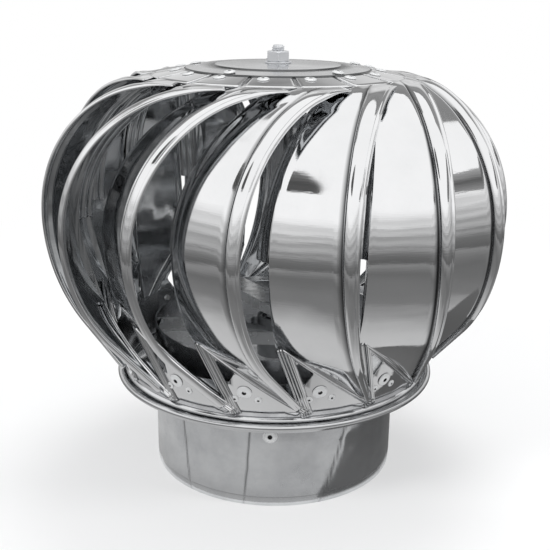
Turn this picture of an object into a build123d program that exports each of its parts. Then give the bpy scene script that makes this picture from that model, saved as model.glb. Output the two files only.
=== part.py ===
"""Rotating chimney cowl: fifteen rolled steel blades riveted into a ball that spins on a ribbed flue collar.

Millimetres, +Z up.  The origin is on the spin axis, at the bottom edge of the collar.
Angles round the cowl are measured from -Y towards +X.
"""

import os
from math import asin, atan2, cos, degrees, radians, sin, sqrt

from build123d import *

os.makedirs("parts", exist_ok=True)

# Driving dimensions
SHEET = 0.8
COLLAR_RADIUS = 100.0
COLLAR_HEIGHT = 75.0
NECK_FOOT = 57.0
NECK_TOP = 122.6
FLANGE_RADIUS = 131.6
BALL_RADIUS = 186.4
EQUATOR_HEIGHT = 215.0
BLADE_COUNT = 15
BLADE_START = 40.7
SKIRT_FOOT_RADIUS = 123.5
SKIRT_FOOT_HEIGHT = 88.0
SKIRT_HEIGHT = 29.0
SKIRT_FLARE = 0.30
CROWN_RADIUS = 98.5
CROWN_WIDTH = 36.5
CROWN_EDGE_HEIGHT = 322.0
CROWN_SLOPE = 0.18
CAP_LAP = 10.0
AXLE_RADIUS = 5.0
AXLE_FOOT = 81.0
AXLE_TOP = 345.0

# Clearances, and how far cutting tools start before and pass behind a face
LAP_GAP = 0.05
SEAT_GAP = 0.02
RUNNING_GAP = 0.05
FLUSH_GAP = 0.08
CROWN_SIDE_GAP = 0.4
WELD_DEPTH = 0.3
DRILL_START = 3.0
DRILL_DEPTH = 8.0
FOOT_CUT_BELOW = 12.0
FOOT_CUT_ABOVE = 6.0
CROWN_CUT_DEPTH = 30.0

# Sheet metal details
HEM_HEIGHT = 8.0
HEM_STEP = 0.4
HEM_TAPER = 0.1
HEM_RAMP = 0.5
LIP_HEIGHT = 3.0
LIP_INSET = 1.5
COLLAR_SWELL = 0.4
SWELL_START = 50.0
SWELL_END = 56.0
NECK_CURL = 0.7
BEAD_RADIUS = 2.5
FLANGE_LAP = 12.0
FLANGE_FLOOR_RADIUS = 124.0
FLANGE_BEAD_HEIGHT = 81.5
SKIRT_BEAD_RADIUS = 2.4
CROWN_THICKNESS = 1.2
CROWN_RIM = 3.0
CAP_THICKNESS = 1.2
CAP_RISE = 1.4
CAP_FLAT_RADIUS = 18.0

# Blade
BLADE_GRAZE = 1.65
FOOT_END_HEIGHT = 97.6
FOOT_STANDOFF = 7.9
FOOT_RUN = 46.0
TIP_SHORT = 40.0
TIP_LIFT = 3.75
TIP_RUN = 34.0
PANEL_WIDTH = 58.0
TIP_PANEL_WIDTH = 28.0
PANEL_TAPER = 1.6
RIB_WIDTH = 12.0
TIP_RIB_WIDTH = 17.0
FOOT_RIB_WIDTH = 5.0
RIB_HEIGHT = 2.4
TIP_RIB_FADE = 0.6
RIB_GROOVE = 1.2
RIB_LIP = 2.6
RIB_SHOULDER = 0.25
MITRE_LIMIT = 0.5
FLANGE_WIDTH = 19.0
TIP_FLANGE_WIDTH = 8.0
FLANGE_FOLD = 40.0
FLANGE_GROOVE = 1.2
CREASE_RISE = 64.0
FOOT_TAB_OUTLINE = [(-15.5, -0.5), (34.3, -0.5), (31.3, 12.5), (-33.5, 63.5), (-39.0, 60.0)]
FOOT_HOLE_OUTLINE = [(-25.5, 48.0), (-11.0, 38.0), (-18.0, 26.0)]
FOOT_HOLE_FILLET = 2.5
FOOT_TAB_LEAD = 15.74
CROWN_TAB_LEAD = 18.73
CROWN_TAB_SPAN = 22.0
CROWN_TAB_REACH = 25.5
CROWN_TAB_OVERHANG = 3.0

# Rivets and screws
WASHER_RADIUS = 5.6
WASHER_THICKNESS = 1.0
RIVET_RADIUS = 2.4
RIVET_HEAD_RADIUS = 4.4
RIVET_HEAD_HEIGHT = 1.4
SMALL_RIVET_RADIUS = 1.6
SMALL_HEAD_RADIUS = 2.9
SMALL_HEAD_HEIGHT = 1.0
RIVET_TAIL = 1.2
COLLAR_RIVET_HEIGHT = 61.0
COLLAR_RIVET_COUNT = 4
COLLAR_RIVET_START = -1.5
FLANGE_RIVET_COUNT = 8
FLANGE_RIVET_RISE = 7.2
FOOT_RIVET_ANGLE = -2.1
FOOT_RIVET_DROP = 7.0
SMALL_FOOT_ANGLES = (-5.4, 2.3)
SMALL_FOOT_DROP = 13.5
CROWN_RIVET_INSET = 18.5
CROWN_RIVET_LEAD = 11.73
CAP_RIVET_INSET = 5.0
CAP_RIVET_COUNT = 5

# Bridge and bearings
BRIDGE_TOP = 114.0
BRIDGE_WIDTH = 34.0
BRIDGE_DEPTH = 11.0
BAR_THICKNESS = 2.0
BRIDGE_END_DROP = 24.0
BRIDGE_RIVET_OFFSET = 9.0
BRIDGE_RIVET_DROP = 16.8
BEARING_OUTER_RADIUS = 13.0
BEARING_WIDTH = 8.0
RACE_WALL = 2.2
BALL_COUNT = 9
HOUSING_WALL = 1.8
HOUSING_FLANGE = 4.0
HOUSING_WAIST = 0.2
HOUSING_EAR_RADIUS = 7.5
HOUSING_BOLT_OFFSET = 23.0
HOUSING_TOP = 124.0
HOUSING_FOOT = 90.0
BEARING_INSET = 1.0
BOLT_RADIUS = 3.0
BOLT_HEAD_FLATS = 10.0
BOLT_HEAD_HEIGHT = 4.0
AXLE_NUT_FLATS = 16.6
AXLE_NUT_HEIGHT = 8.0
TOP_WASHER_RADIUS = 10.5
TOP_WASHER_THICKNESS = 1.2
AXLE_FOOT_CHAMFER = 0.8
AXLE_TOP_CHAMFER = 1.2
CROSSBAR_ANGLE = 32.6
CROSSBAR_WIDTH = 21.0
CROSSBAR_LIFT = 19.0
CROSSBAR_DEPTH = 9.0
CROSSBAR_TAB = 30.0
CROSSBAR_RIVET_OFFSET = 5.9
CROSSBAR_RIVET_GRIP = 2.2
SPACER_WALL = 1.6

pitch = 360.0 / BLADE_COUNT
skirt_top = SKIRT_FOOT_HEIGHT + SKIRT_HEIGHT
crossbar_top = skirt_top + CROSSBAR_LIFT
crown_hole_radius = CROWN_RADIUS - CROWN_WIDTH
crown_rivet_radius = CROWN_RADIUS - CROWN_RIVET_INSET
cap_radius = crown_hole_radius + CAP_LAP
cap_rivet_radius = cap_radius - CAP_RIVET_INSET


def skirt_radius(height):
    """Outer radius of the flared skirt at a height."""
    return SKIRT_FOOT_RADIUS + (height - SKIRT_FOOT_HEIGHT) * SKIRT_FLARE


def crown_height(radius):
    """Height of the crown ring's upper face at a radius."""
    return CROWN_EDGE_HEIGHT + (CROWN_RADIUS - radius) * CROWN_SLOPE


def crown_plane(radius, angle, lift=0.0):
    """Plane resting on the crown cone, raised along its normal."""
    slope = atan2(CROWN_SLOPE, 1)
    direction = Vector(sin(radians(angle)), -cos(radians(angle)), 0)
    side = Vector(cos(radians(angle)), sin(radians(angle)), 0)
    normal = direction * sin(slope) + Vector(0, 0, cos(slope))
    origin = direction * radius + Vector(0, 0, crown_height(radius)) + normal * lift
    return Plane(origin=origin, x_dir=side, z_dir=normal)


def write(piece, name):
    """Label one finished piece and write it."""
    piece.label = name
    export_step(piece, f"parts/{name}.step")


def around(start, count):
    """Angles of an even pattern round the axis."""
    return [start + index * 360.0 / count for index in range(count)]


def drill(seats, radius):
    """Round holes through the piece being built, one at each seat plane."""
    for seat in seats:
        with BuildSketch(seat.offset(DRILL_START)) as hole:
            Circle(radius + SEAT_GAP)
        extrude(hole.sketch, amount=-DRILL_DEPTH, mode=Mode.SUBTRACT)


def radial_plane(radius, angle, height):
    """Upright plane that touches a round wall from outside, its Z pointing out."""
    outward = Vector(sin(radians(angle)), -cos(radians(angle)), 0)
    side = Vector(cos(radians(angle)), sin(radians(angle)), 0)
    return Plane(origin=outward * radius + Vector(0, 0, height), x_dir=side, z_dir=outward)


def skirt_plane(angle, height, lift=0.0):
    """Plane that touches the flared skirt from outside, raised along its normal."""
    flare = atan2(SKIRT_FLARE, 1)
    direction = Vector(sin(radians(angle)), -cos(radians(angle)), 0)
    side = Vector(cos(radians(angle)), sin(radians(angle)), 0)
    outward = direction * cos(flare) - Vector(0, 0, sin(flare))
    origin = direction * skirt_radius(height) + Vector(0, 0, height) + outward * lift
    return Plane(origin=origin, x_dir=side, z_dir=outward)


# Blade path: a foot run, a lower bend, an upper bend and a tip run, all in one upright plane
blade_offset = CROWN_RADIUS + BLADE_GRAZE
turn = asin(blade_offset / BALL_RADIUS)
along = Vector(sin(turn), cos(turn), 0)
across = Vector(-cos(turn), sin(turn), 0)
path_start = Vector(0, -BALL_RADIUS, EQUATOR_HEIGHT)
path_depth = BALL_RADIUS * cos(turn)


def bend(inward, rise, run):
    """Radius and angle of a bend that leads into a straight run and ends at a given place."""
    angle = 2 * atan2(inward, rise + run)
    return (rise - run * cos(angle)) / sin(angle), angle


foot_radius = skirt_radius(FOOT_END_HEIGHT) + FOOT_STANDOFF
foot_depth = path_depth - sqrt(foot_radius ** 2 - blade_offset ** 2)
foot_angle = degrees(atan2(along.X * foot_depth, BALL_RADIUS - along.Y * foot_depth))
foot_turn = foot_angle - FOOT_TAB_LEAD
tip_angle = 90 - degrees(turn) - degrees(atan2(TIP_SHORT, blade_offset))
tip_rise = CROWN_EDGE_HEIGHT + TIP_LIFT - EQUATOR_HEIGHT
lower_radius, lower_angle = bend(foot_depth, EQUATOR_HEIGHT - FOOT_END_HEIGHT, FOOT_RUN)
upper_radius, upper_angle = bend(path_depth - TIP_SHORT, tip_rise, TIP_RUN)


def path_frame(distance):
    """Point and lean of the rib's path; the distance is counted up from the equator."""
    if distance < 0:
        radius = lower_radius
        full = lower_angle
    else:
        radius = upper_radius
        full = upper_angle
    lean = min(abs(distance) / radius, full)
    straight = abs(distance) - radius * lean
    inward = radius * (1 - cos(lean)) + straight * sin(lean)
    rise = radius * sin(lean) + straight * cos(lean)
    if distance < 0:
        return path_start + along * inward - Vector(0, 0, rise), -lean
    return path_start + along * inward + Vector(0, 0, rise), lean


lower_bend = lower_radius * lower_angle
upper_bend = upper_radius * upper_angle
path_foot = -(lower_bend + FOOT_RUN)
path_tip = upper_bend + TIP_RUN


def share(distance):
    """How far a station is towards the foot (-1) or the tip (+1)."""
    return distance / path_tip if distance > 0 else -distance / path_foot


def section_outline(distance):
    """Ribbed cross-section of the blade: points across the sheet and inward from it."""
    reach = share(distance)
    upper = max(reach, 0.0)
    lower = max(-reach, 0.0)
    rib = RIB_WIDTH - (RIB_WIDTH - FOOT_RIB_WIDTH) * lower + (TIP_RIB_WIDTH - RIB_WIDTH) * upper
    panel = PANEL_WIDTH - (PANEL_WIDTH - TIP_PANEL_WIDTH) * upper ** PANEL_TAPER
    flange = FLANGE_WIDTH - (FLANGE_WIDTH - TIP_FLANGE_WIDTH) * upper ** PANEL_TAPER
    fold = radians(FLANGE_FOLD)
    middle = Vector(panel + flange / 2 * cos(fold), flange / 2 * sin(fold))
    edge = Vector(panel + flange * cos(fold), flange * sin(fold))
    dent = Vector(-sin(fold), cos(fold)) * FLANGE_GROOVE
    crest = RIB_HEIGHT * (1 - TIP_RIB_FADE * upper ** 3)
    return [
        Vector(0, RIB_LIP),
        Vector(rib * RIB_SHOULDER, -crest),
        Vector(rib * (1 - RIB_SHOULDER), -crest),
        Vector(rib, RIB_GROOVE),
        Vector(panel, 0),
        middle - dent,
        edge + dent,
    ]


def section_face(distance):
    """Closed outline of the sheet at a station, as a face square to the path."""
    origin, lean = path_frame(distance)
    inward = along * cos(lean) - Vector(0, 0, sin(lean))
    outer = section_outline(distance)
    inner = []
    for index, point in enumerate(outer):
        before = outer[max(index - 1, 0)]
        after = outer[min(index + 1, len(outer) - 1)]
        first = (point - before).normalized() if index else (after - point).normalized()
        second = (after - point).normalized() if index < len(outer) - 1 else first
        normal = (Vector(-first.Y, first.X) + Vector(-second.Y, second.X)).normalized()
        reach = SHEET / max(normal.dot(Vector(-first.Y, first.X)), MITRE_LIMIT)
        inner.append(point + normal * reach)
    with BuildSketch(Plane(origin=origin, x_dir=across, z_dir=across.cross(inward))) as section:
        with BuildLine():
            Polyline(*[(p.X, p.Y) for p in outer + inner[::-1]], close=True)
        make_face()
    return section.sketch


def ring(points):
    """Solid of revolution of a closed outline given as radius and height pairs."""
    with BuildPart() as turned:
        with BuildSketch(Plane.XZ):
            with BuildLine():
                Polyline(*points, close=True)
            make_face()
        revolve(axis=Axis.Z)
    return turned.part


# Blade: a ribbed strip lofted along its path, a flat crown tab and a flared foot tab with a leg
stations = [path_foot, -lower_bend, -lower_bend / 2]
stations += [part * upper_bend for part in (0, 0.38, 0.73, 1)]
stations.append(path_tip)
tab_top = SKIRT_FOOT_HEIGHT + CREASE_RISE
cut_foot = SKIRT_FOOT_HEIGHT - FOOT_CUT_BELOW
cut_top = tab_top + FOOT_CUT_ABOVE
normal_share = cos(atan2(SKIRT_FLARE, 1))
foot_wall = (LAP_GAP + SHEET) * normal_share

with BuildPart() as foot_hollow:
    add(ring([
        (0, cut_foot),
        (skirt_radius(cut_foot) + LAP_GAP + WELD_DEPTH, cut_foot),
        (skirt_radius(cut_top) + LAP_GAP + WELD_DEPTH, cut_top),
        (0, cut_top),
    ]))

crown_side = CROWN_RADIUS + CROWN_SIDE_GAP
with BuildPart() as crown_hollow:
    add(ring([
        (0, CROWN_EDGE_HEIGHT - CROWN_CUT_DEPTH),
        (crown_side, CROWN_EDGE_HEIGHT - CROWN_CUT_DEPTH),
        (crown_side, crown_height(crown_side) + LAP_GAP + WELD_DEPTH),
        (0, crown_height(0) + LAP_GAP + WELD_DEPTH),
    ]))

foot_tab_outline = [(x, SKIRT_FOOT_HEIGHT + rise) for x, rise in FOOT_TAB_OUTLINE]
foot_hole_outline = [(x, SKIRT_FOOT_HEIGHT + rise) for x, rise in FOOT_HOLE_OUTLINE]

with BuildPart() as foot_tab:
    inner_foot = skirt_radius(SKIRT_FOOT_HEIGHT) + LAP_GAP
    inner_top = skirt_radius(tab_top) + LAP_GAP
    add(ring([
        (inner_foot, SKIRT_FOOT_HEIGHT),
        (inner_foot + SHEET, SKIRT_FOOT_HEIGHT),
        (inner_top + SHEET, tab_top),
        (inner_top, tab_top),
    ]))
    with BuildSketch(Plane.XZ) as tab_sketch:
        with BuildLine():
            Polyline(*foot_tab_outline, close=True)
        make_face()
        with BuildLine():
            FilletPolyline(*foot_hole_outline, radius=FOOT_HOLE_FILLET, close=True)
        make_face(mode=Mode.SUBTRACT)
    extrude(amount=BALL_RADIUS, mode=Mode.INTERSECT)
foot_tab_part = Rot(0, 0, foot_turn) * foot_tab.part

crown_lap = CROWN_RADIUS + CROWN_TAB_OVERHANG
crown_tab_inner = CROWN_RADIUS - CROWN_TAB_REACH
crown_rivet_angle = tip_angle - CROWN_RIVET_LEAD
with BuildPart() as crown_tab:
    with BuildSketch(Plane.XZ):
        with BuildLine():
            Polyline(
                (crown_tab_inner, crown_height(crown_tab_inner) + LAP_GAP),
                (crown_lap, crown_height(crown_lap) + LAP_GAP),
                (crown_lap, crown_height(crown_lap) + LAP_GAP + SHEET),
                (crown_tab_inner, crown_height(crown_tab_inner) + LAP_GAP + SHEET),
                close=True,
            )
        make_face()
    revolve(axis=Axis.Z, revolution_arc=CROWN_TAB_SPAN)
crown_tab_part = Rot(0, 0, tip_angle - CROWN_TAB_LEAD - 90) * crown_tab.part

with BuildPart() as blade:
    for distance in stations:
        add(section_face(distance))
    loft()
    add(foot_hollow.part, mode=Mode.SUBTRACT)
    add(crown_hollow.part, mode=Mode.SUBTRACT)
    add(foot_tab_part)
    add(crown_tab_part)
    drill([skirt_plane(foot_turn + FOOT_RIVET_ANGLE, skirt_top - FOOT_RIVET_DROP)], RIVET_RADIUS)
    drill([crown_plane(crown_rivet_radius, crown_rivet_angle)], RIVET_RADIUS)

blades = []
for index in range(BLADE_COUNT):
    blades.append(Rot(0, 0, BLADE_START + index * pitch) * blade.part)


# Collar: the flue spigot, stepped in at its foot to start into the flue and swelling a little over the neck
collar_inner = COLLAR_RADIUS - SHEET
joint_radius = COLLAR_RADIUS + COLLAR_SWELL
with BuildPart() as flue_collar:
    with BuildSketch(Plane.XZ):
        with BuildLine():
            Polyline(
                (collar_inner - LIP_INSET, 0),
                (COLLAR_RADIUS - LIP_INSET, 0),
                (COLLAR_RADIUS - HEM_STEP, LIP_HEIGHT),
                (COLLAR_RADIUS - HEM_STEP + HEM_TAPER, HEM_HEIGHT - HEM_RAMP),
                (COLLAR_RADIUS, HEM_HEIGHT + HEM_RAMP),
                (COLLAR_RADIUS, SWELL_START),
                (joint_radius, SWELL_END),
                (joint_radius, COLLAR_HEIGHT),
                (joint_radius - SHEET, COLLAR_HEIGHT),
                (joint_radius - SHEET, SWELL_END),
                (collar_inner, SWELL_START),
                (collar_inner, HEM_HEIGHT + HEM_RAMP),
                (collar_inner - HEM_STEP + HEM_TAPER, HEM_HEIGHT - HEM_RAMP),
                (collar_inner - HEM_STEP, LIP_HEIGHT),
                close=True,
            )
        make_face()
    revolve(axis=Axis.Z)

# Neck sleeve: riveted inside the collar, it carries the flange and the bearing bridge
neck_radius = joint_radius - SHEET - LAP_GAP
neck_inner = neck_radius - SHEET
with BuildPart() as neck_sleeve:
    with BuildSketch(Plane.XZ):
        with BuildLine():
            Polyline(
                (neck_inner, NECK_FOOT),
                (neck_radius, NECK_FOOT),
                (neck_radius, NECK_TOP - SHEET),
                (neck_radius + NECK_CURL, NECK_TOP - SHEET),
                (neck_radius + NECK_CURL, NECK_TOP),
                (neck_inner, NECK_TOP),
                close=True,
            )
        make_face()
    revolve(axis=Axis.Z)

# Flange ring: a shallow pan round the neck, seated on the collar, with a rolled bead
flange_inner = neck_radius + LAP_GAP
bead_centre = FLANGE_RADIUS - BEAD_RADIUS
with BuildPart() as flange_ring:
    with BuildSketch(Plane.XZ):
        with BuildLine():
            Polyline(
                (flange_inner, COLLAR_HEIGHT),
                (FLANGE_FLOOR_RADIUS, COLLAR_HEIGHT),
                (bead_centre + SHEET / 2, FLANGE_BEAD_HEIGHT),
                (bead_centre - SHEET / 2, FLANGE_BEAD_HEIGHT),
                (FLANGE_FLOOR_RADIUS - SHEET / 2, COLLAR_HEIGHT + SHEET),
                (flange_inner + SHEET, COLLAR_HEIGHT + SHEET),
                (flange_inner + SHEET, COLLAR_HEIGHT + FLANGE_LAP),
                (flange_inner, COLLAR_HEIGHT + FLANGE_LAP),
                close=True,
            )
        make_face()
        with Locations((bead_centre, FLANGE_BEAD_HEIGHT)):
            Circle(BEAD_RADIUS)
    revolve(axis=Axis.Z)

# Collar rivets: blind rivets with broad washers join the collar to the neck
collar_wall = joint_radius - neck_inner
collar_rivet_angles = around(COLLAR_RIVET_START, COLLAR_RIVET_COUNT)
with BuildPart() as collar_washers:
    for angle in collar_rivet_angles:
        with BuildSketch(radial_plane(joint_radius + SEAT_GAP, angle, COLLAR_RIVET_HEIGHT)):
            Circle(WASHER_RADIUS)
            Circle(RIVET_RADIUS + SEAT_GAP, mode=Mode.SUBTRACT)
        extrude(amount=WASHER_THICKNESS)

with BuildPart() as collar_rivets:
    for angle in collar_rivet_angles:
        seat = radial_plane(joint_radius + WASHER_THICKNESS + 2 * SEAT_GAP, angle, COLLAR_RIVET_HEIGHT)
        with BuildSketch(seat):
            Circle(RIVET_HEAD_RADIUS)
        extrude(amount=RIVET_HEAD_HEIGHT)
        with BuildSketch(seat):
            Circle(RIVET_RADIUS)
        extrude(amount=-(collar_wall + WASHER_THICKNESS + RIVET_TAIL))

for sleeve in (flue_collar, neck_sleeve):
    with sleeve:
        drill([radial_plane(joint_radius, a, COLLAR_RIVET_HEIGHT) for a in collar_rivet_angles], RIVET_RADIUS)

# Flange rivets: small ones round the flange's upright lap
flange_rivet_height = COLLAR_HEIGHT + FLANGE_RIVET_RISE
flange_rivet_angles = around(pitch, FLANGE_RIVET_COUNT)
lap_radius = flange_inner + SHEET
for sleeve in (neck_sleeve, flange_ring):
    with sleeve:
        drill(
            [radial_plane(lap_radius, a, flange_rivet_height) for a in flange_rivet_angles],
            SMALL_RIVET_RADIUS,
        )

with BuildPart() as flange_rivets:
    for angle in flange_rivet_angles:
        seat = radial_plane(lap_radius + SEAT_GAP, angle, flange_rivet_height)
        with BuildSketch(seat):
            Circle(SMALL_HEAD_RADIUS)
        extrude(amount=SMALL_HEAD_HEIGHT)
        with BuildSketch(seat):
            Circle(SMALL_RIVET_RADIUS)
        extrude(amount=-(lap_radius - neck_inner + RIVET_TAIL))

# Bearing bridge: an inverted channel across the neck with its ends turned down against the wall
bridge_half = sqrt((neck_inner - LAP_GAP) ** 2 - (BRIDGE_WIDTH / 2) ** 2)
web_foot = BRIDGE_TOP - BAR_THICKNESS
with BuildPart() as bearing_bridge:
    with BuildSketch(Plane.YZ):
        with BuildLine():
            Polyline(
                (-BRIDGE_WIDTH / 2, BRIDGE_TOP - BRIDGE_DEPTH),
                (-BRIDGE_WIDTH / 2, BRIDGE_TOP),
                (BRIDGE_WIDTH / 2, BRIDGE_TOP),
                (BRIDGE_WIDTH / 2, BRIDGE_TOP - BRIDGE_DEPTH),
                (BRIDGE_WIDTH / 2 - BAR_THICKNESS, BRIDGE_TOP - BRIDGE_DEPTH),
                (BRIDGE_WIDTH / 2 - BAR_THICKNESS, web_foot),
                (BAR_THICKNESS - BRIDGE_WIDTH / 2, web_foot),
                (BAR_THICKNESS - BRIDGE_WIDTH / 2, BRIDGE_TOP - BRIDGE_DEPTH),
                close=True,
            )
        make_face()
    extrude(amount=bridge_half, both=True)
    for side in (-1, 1):
        with BuildSketch(Plane.XY.offset(BRIDGE_TOP - BRIDGE_END_DROP)):
            with Locations((side * (bridge_half - BAR_THICKNESS / 2), 0)):
                Rectangle(BAR_THICKNESS, BRIDGE_WIDTH)
        extrude(amount=BRIDGE_END_DROP)
    with BuildSketch(Plane.XY.offset(web_foot)):
        Circle(BEARING_OUTER_RADIUS + HOUSING_WALL + RUNNING_GAP)
        with Locations((-HOUSING_BOLT_OFFSET, 0), (HOUSING_BOLT_OFFSET, 0)):
            Circle(BOLT_RADIUS + SEAT_GAP)
    extrude(amount=BAR_THICKNESS, mode=Mode.SUBTRACT)

# Bridge rivets: two through each turned-down end and the neck
bridge_rivet_height = BRIDGE_TOP - BRIDGE_RIVET_DROP
bridge_rivet_angles = []
for side in (-90, 90):
    spread = degrees(asin(BRIDGE_RIVET_OFFSET / neck_radius))
    bridge_rivet_angles += [side - spread, side + spread]
for piece in (neck_sleeve, bearing_bridge):
    with piece:
        drill([radial_plane(neck_radius, a, bridge_rivet_height) for a in bridge_rivet_angles], RIVET_RADIUS)

with BuildPart() as bridge_rivets:
    for angle in bridge_rivet_angles:
        seat = radial_plane(neck_radius + SEAT_GAP, angle, bridge_rivet_height)
        with BuildSketch(seat):
            Circle(RIVET_HEAD_RADIUS)
        extrude(amount=RIVET_HEAD_HEIGHT)
        with BuildSketch(seat):
            Circle(RIVET_RADIUS)
        extrude(amount=-(neck_radius - bridge_half + BAR_THICKNESS + RIVET_TAIL))

# Bearing housing: a two-bolt flanged sleeve through the bridge, bored for both bearings
housing_radius = BEARING_OUTER_RADIUS + HOUSING_WALL
with BuildPart() as bearing_housing:
    with BuildSketch(Plane.XY.offset(HOUSING_FOOT)):
        Circle(housing_radius)
    extrude(amount=HOUSING_TOP - HOUSING_FOOT)
    with BuildSketch(Plane.XY.offset(BRIDGE_TOP)):
        with BuildLine():
            Polyline(
                (-HOUSING_BOLT_OFFSET, HOUSING_EAR_RADIUS),
                (0, housing_radius + HOUSING_WAIST),
                (HOUSING_BOLT_OFFSET, HOUSING_EAR_RADIUS),
                (HOUSING_BOLT_OFFSET, -HOUSING_EAR_RADIUS),
                (0, -housing_radius - HOUSING_WAIST),
                (-HOUSING_BOLT_OFFSET, -HOUSING_EAR_RADIUS),
                close=True,
            )
        make_face()
        with Locations((-HOUSING_BOLT_OFFSET, 0), (HOUSING_BOLT_OFFSET, 0)):
            Circle(HOUSING_EAR_RADIUS)
    extrude(amount=HOUSING_FLANGE)
    with BuildSketch(Plane.XY.offset(HOUSING_FOOT)):
        Circle(BEARING_OUTER_RADIUS)
    extrude(amount=HOUSING_TOP - HOUSING_FOOT, mode=Mode.SUBTRACT)
    with BuildSketch(Plane.XY.offset(BRIDGE_TOP)):
        with Locations((-HOUSING_BOLT_OFFSET, 0), (HOUSING_BOLT_OFFSET, 0)):
            Circle(BOLT_RADIUS + SEAT_GAP)
    extrude(amount=HOUSING_FLANGE, mode=Mode.SUBTRACT)

bolt_top = BRIDGE_TOP + HOUSING_FLANGE
with BuildPart() as housing_bolts:
    for side in (-1, 1):
        with BuildSketch(Plane.XY.offset(bolt_top)):
            with Locations((side * HOUSING_BOLT_OFFSET, 0)):
                RegularPolygon(BOLT_HEAD_FLATS / 2, 6, major_radius=False)
        extrude(amount=BOLT_HEAD_HEIGHT)
        with BuildSketch(Plane.XY.offset(bolt_top)):
            with Locations((side * HOUSING_BOLT_OFFSET, 0)):
                Circle(BOLT_RADIUS)
        extrude(amount=-(HOUSING_FLANGE + BAR_THICKNESS + BOLT_HEAD_HEIGHT + RIVET_TAIL))

with BuildPart() as housing_nuts:
    for side in (-1, 1):
        with BuildSketch(Plane.XY.offset(web_foot)):
            with Locations((side * HOUSING_BOLT_OFFSET, 0)):
                RegularPolygon(BOLT_HEAD_FLATS / 2, 6, major_radius=False)
                Circle(BOLT_RADIUS + SEAT_GAP, mode=Mode.SUBTRACT)
        extrude(amount=-BOLT_HEAD_HEIGHT)

# Ball bearings: two alike, one at each end of the housing
bearing_feet = {
    "lower": HOUSING_FOOT + BEARING_INSET,
    "upper": HOUSING_TOP - BEARING_INSET - BEARING_WIDTH,
}
inner_race_radius = AXLE_RADIUS + RACE_WALL
outer_race_bore = BEARING_OUTER_RADIUS - RACE_WALL
ball_circle = (inner_race_radius + outer_race_bore) / 2
ball_radius = (outer_race_bore - inner_race_radius) / 2 - RUNNING_GAP
races = {}
for place, foot in bearing_feet.items():
    with BuildPart() as outer_race:
        with BuildSketch(Plane.XY.offset(foot)):
            Circle(BEARING_OUTER_RADIUS - SEAT_GAP)
            Circle(outer_race_bore, mode=Mode.SUBTRACT)
        extrude(amount=BEARING_WIDTH)
    with BuildPart() as inner_race:
        with BuildSketch(Plane.XY.offset(foot)):
            Circle(inner_race_radius)
            Circle(AXLE_RADIUS + SEAT_GAP, mode=Mode.SUBTRACT)
        extrude(amount=BEARING_WIDTH)
    with BuildPart(Plane.XY.offset(foot + BEARING_WIDTH / 2)) as balls:
        with PolarLocations(ball_circle, BALL_COUNT):
            Sphere(ball_radius)
    races[f"{place}_outer_race"] = outer_race.part
    races[f"{place}_inner_race"] = inner_race.part
    races[f"{place}_bearing_balls"] = balls.part

# Axle: turns with the ball, threaded at both ends
with BuildPart() as axle:
    with BuildSketch(Plane.XY.offset(AXLE_FOOT)):
        Circle(AXLE_RADIUS)
    extrude(amount=AXLE_TOP - AXLE_FOOT)
    chamfer(axle.edges().filter_by(GeomType.CIRCLE).group_by(Axis.Z)[0], AXLE_FOOT_CHAMFER)
    chamfer(axle.edges().filter_by(GeomType.CIRCLE).group_by(Axis.Z)[-1], AXLE_TOP_CHAMFER)

spacer_radius = AXLE_RADIUS + SPACER_WALL
crossbar_foot = crossbar_top - BAR_THICKNESS
lower_race_top = bearing_feet["lower"] + BEARING_WIDTH
upper_race_top = bearing_feet["upper"] + BEARING_WIDTH
spacers = {
    "bearing_spacer": (lower_race_top, bearing_feet["upper"]),
    "crossbar_spacer": (upper_race_top, crossbar_foot),
}
spacer_parts = {}
for name, (foot, top) in spacers.items():
    with BuildPart() as tube:
        with BuildSketch(Plane.XY.offset(foot)):
            Circle(spacer_radius)
            Circle(AXLE_RADIUS + SEAT_GAP, mode=Mode.SUBTRACT)
        extrude(amount=top - foot)
    spacer_parts[name] = tube.part

# Rotor cross-bar: an inverted channel whose ends lean out against the skirt
tab_foot = crossbar_foot - CROSSBAR_TAB
bar_half = sqrt((skirt_radius(tab_foot) - SHEET) ** 2 - (CROSSBAR_WIDTH / 2) ** 2) - LAP_GAP
bar_reach = bar_half + SKIRT_FLARE * CROSSBAR_TAB
with BuildPart() as crossbar_blank:
    with BuildSketch(Plane.XZ):
        with BuildLine():
            Polyline(
                (0, crossbar_top),
                (bar_reach, crossbar_top),
                (bar_reach, crossbar_foot),
                (bar_half, tab_foot),
                (bar_half - BAR_THICKNESS, tab_foot),
                (bar_reach - BAR_THICKNESS, crossbar_foot),
                (0, crossbar_foot),
                close=True,
            )
        make_face()
    extrude(amount=CROSSBAR_WIDTH / 2, both=True)
    for side in (-1, 1):
        with BuildSketch(Plane.XZ.offset(side * (CROSSBAR_WIDTH - BAR_THICKNESS) / 2)):
            with BuildLine():
                Polyline(
                    (0, crossbar_top),
                    (bar_reach - BAR_THICKNESS, crossbar_top),
                    (bar_reach - 2 * CROSSBAR_DEPTH, crossbar_top - CROSSBAR_DEPTH),
                    (0, crossbar_top - CROSSBAR_DEPTH),
                    close=True,
                )
            make_face()
        extrude(amount=BAR_THICKNESS / 2, both=True)
    mirror(about=Plane.YZ)
    with BuildSketch(Plane.XY.offset(crossbar_foot)):
        Circle(AXLE_RADIUS + SEAT_GAP)
    extrude(amount=BAR_THICKNESS, mode=Mode.SUBTRACT)

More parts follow.
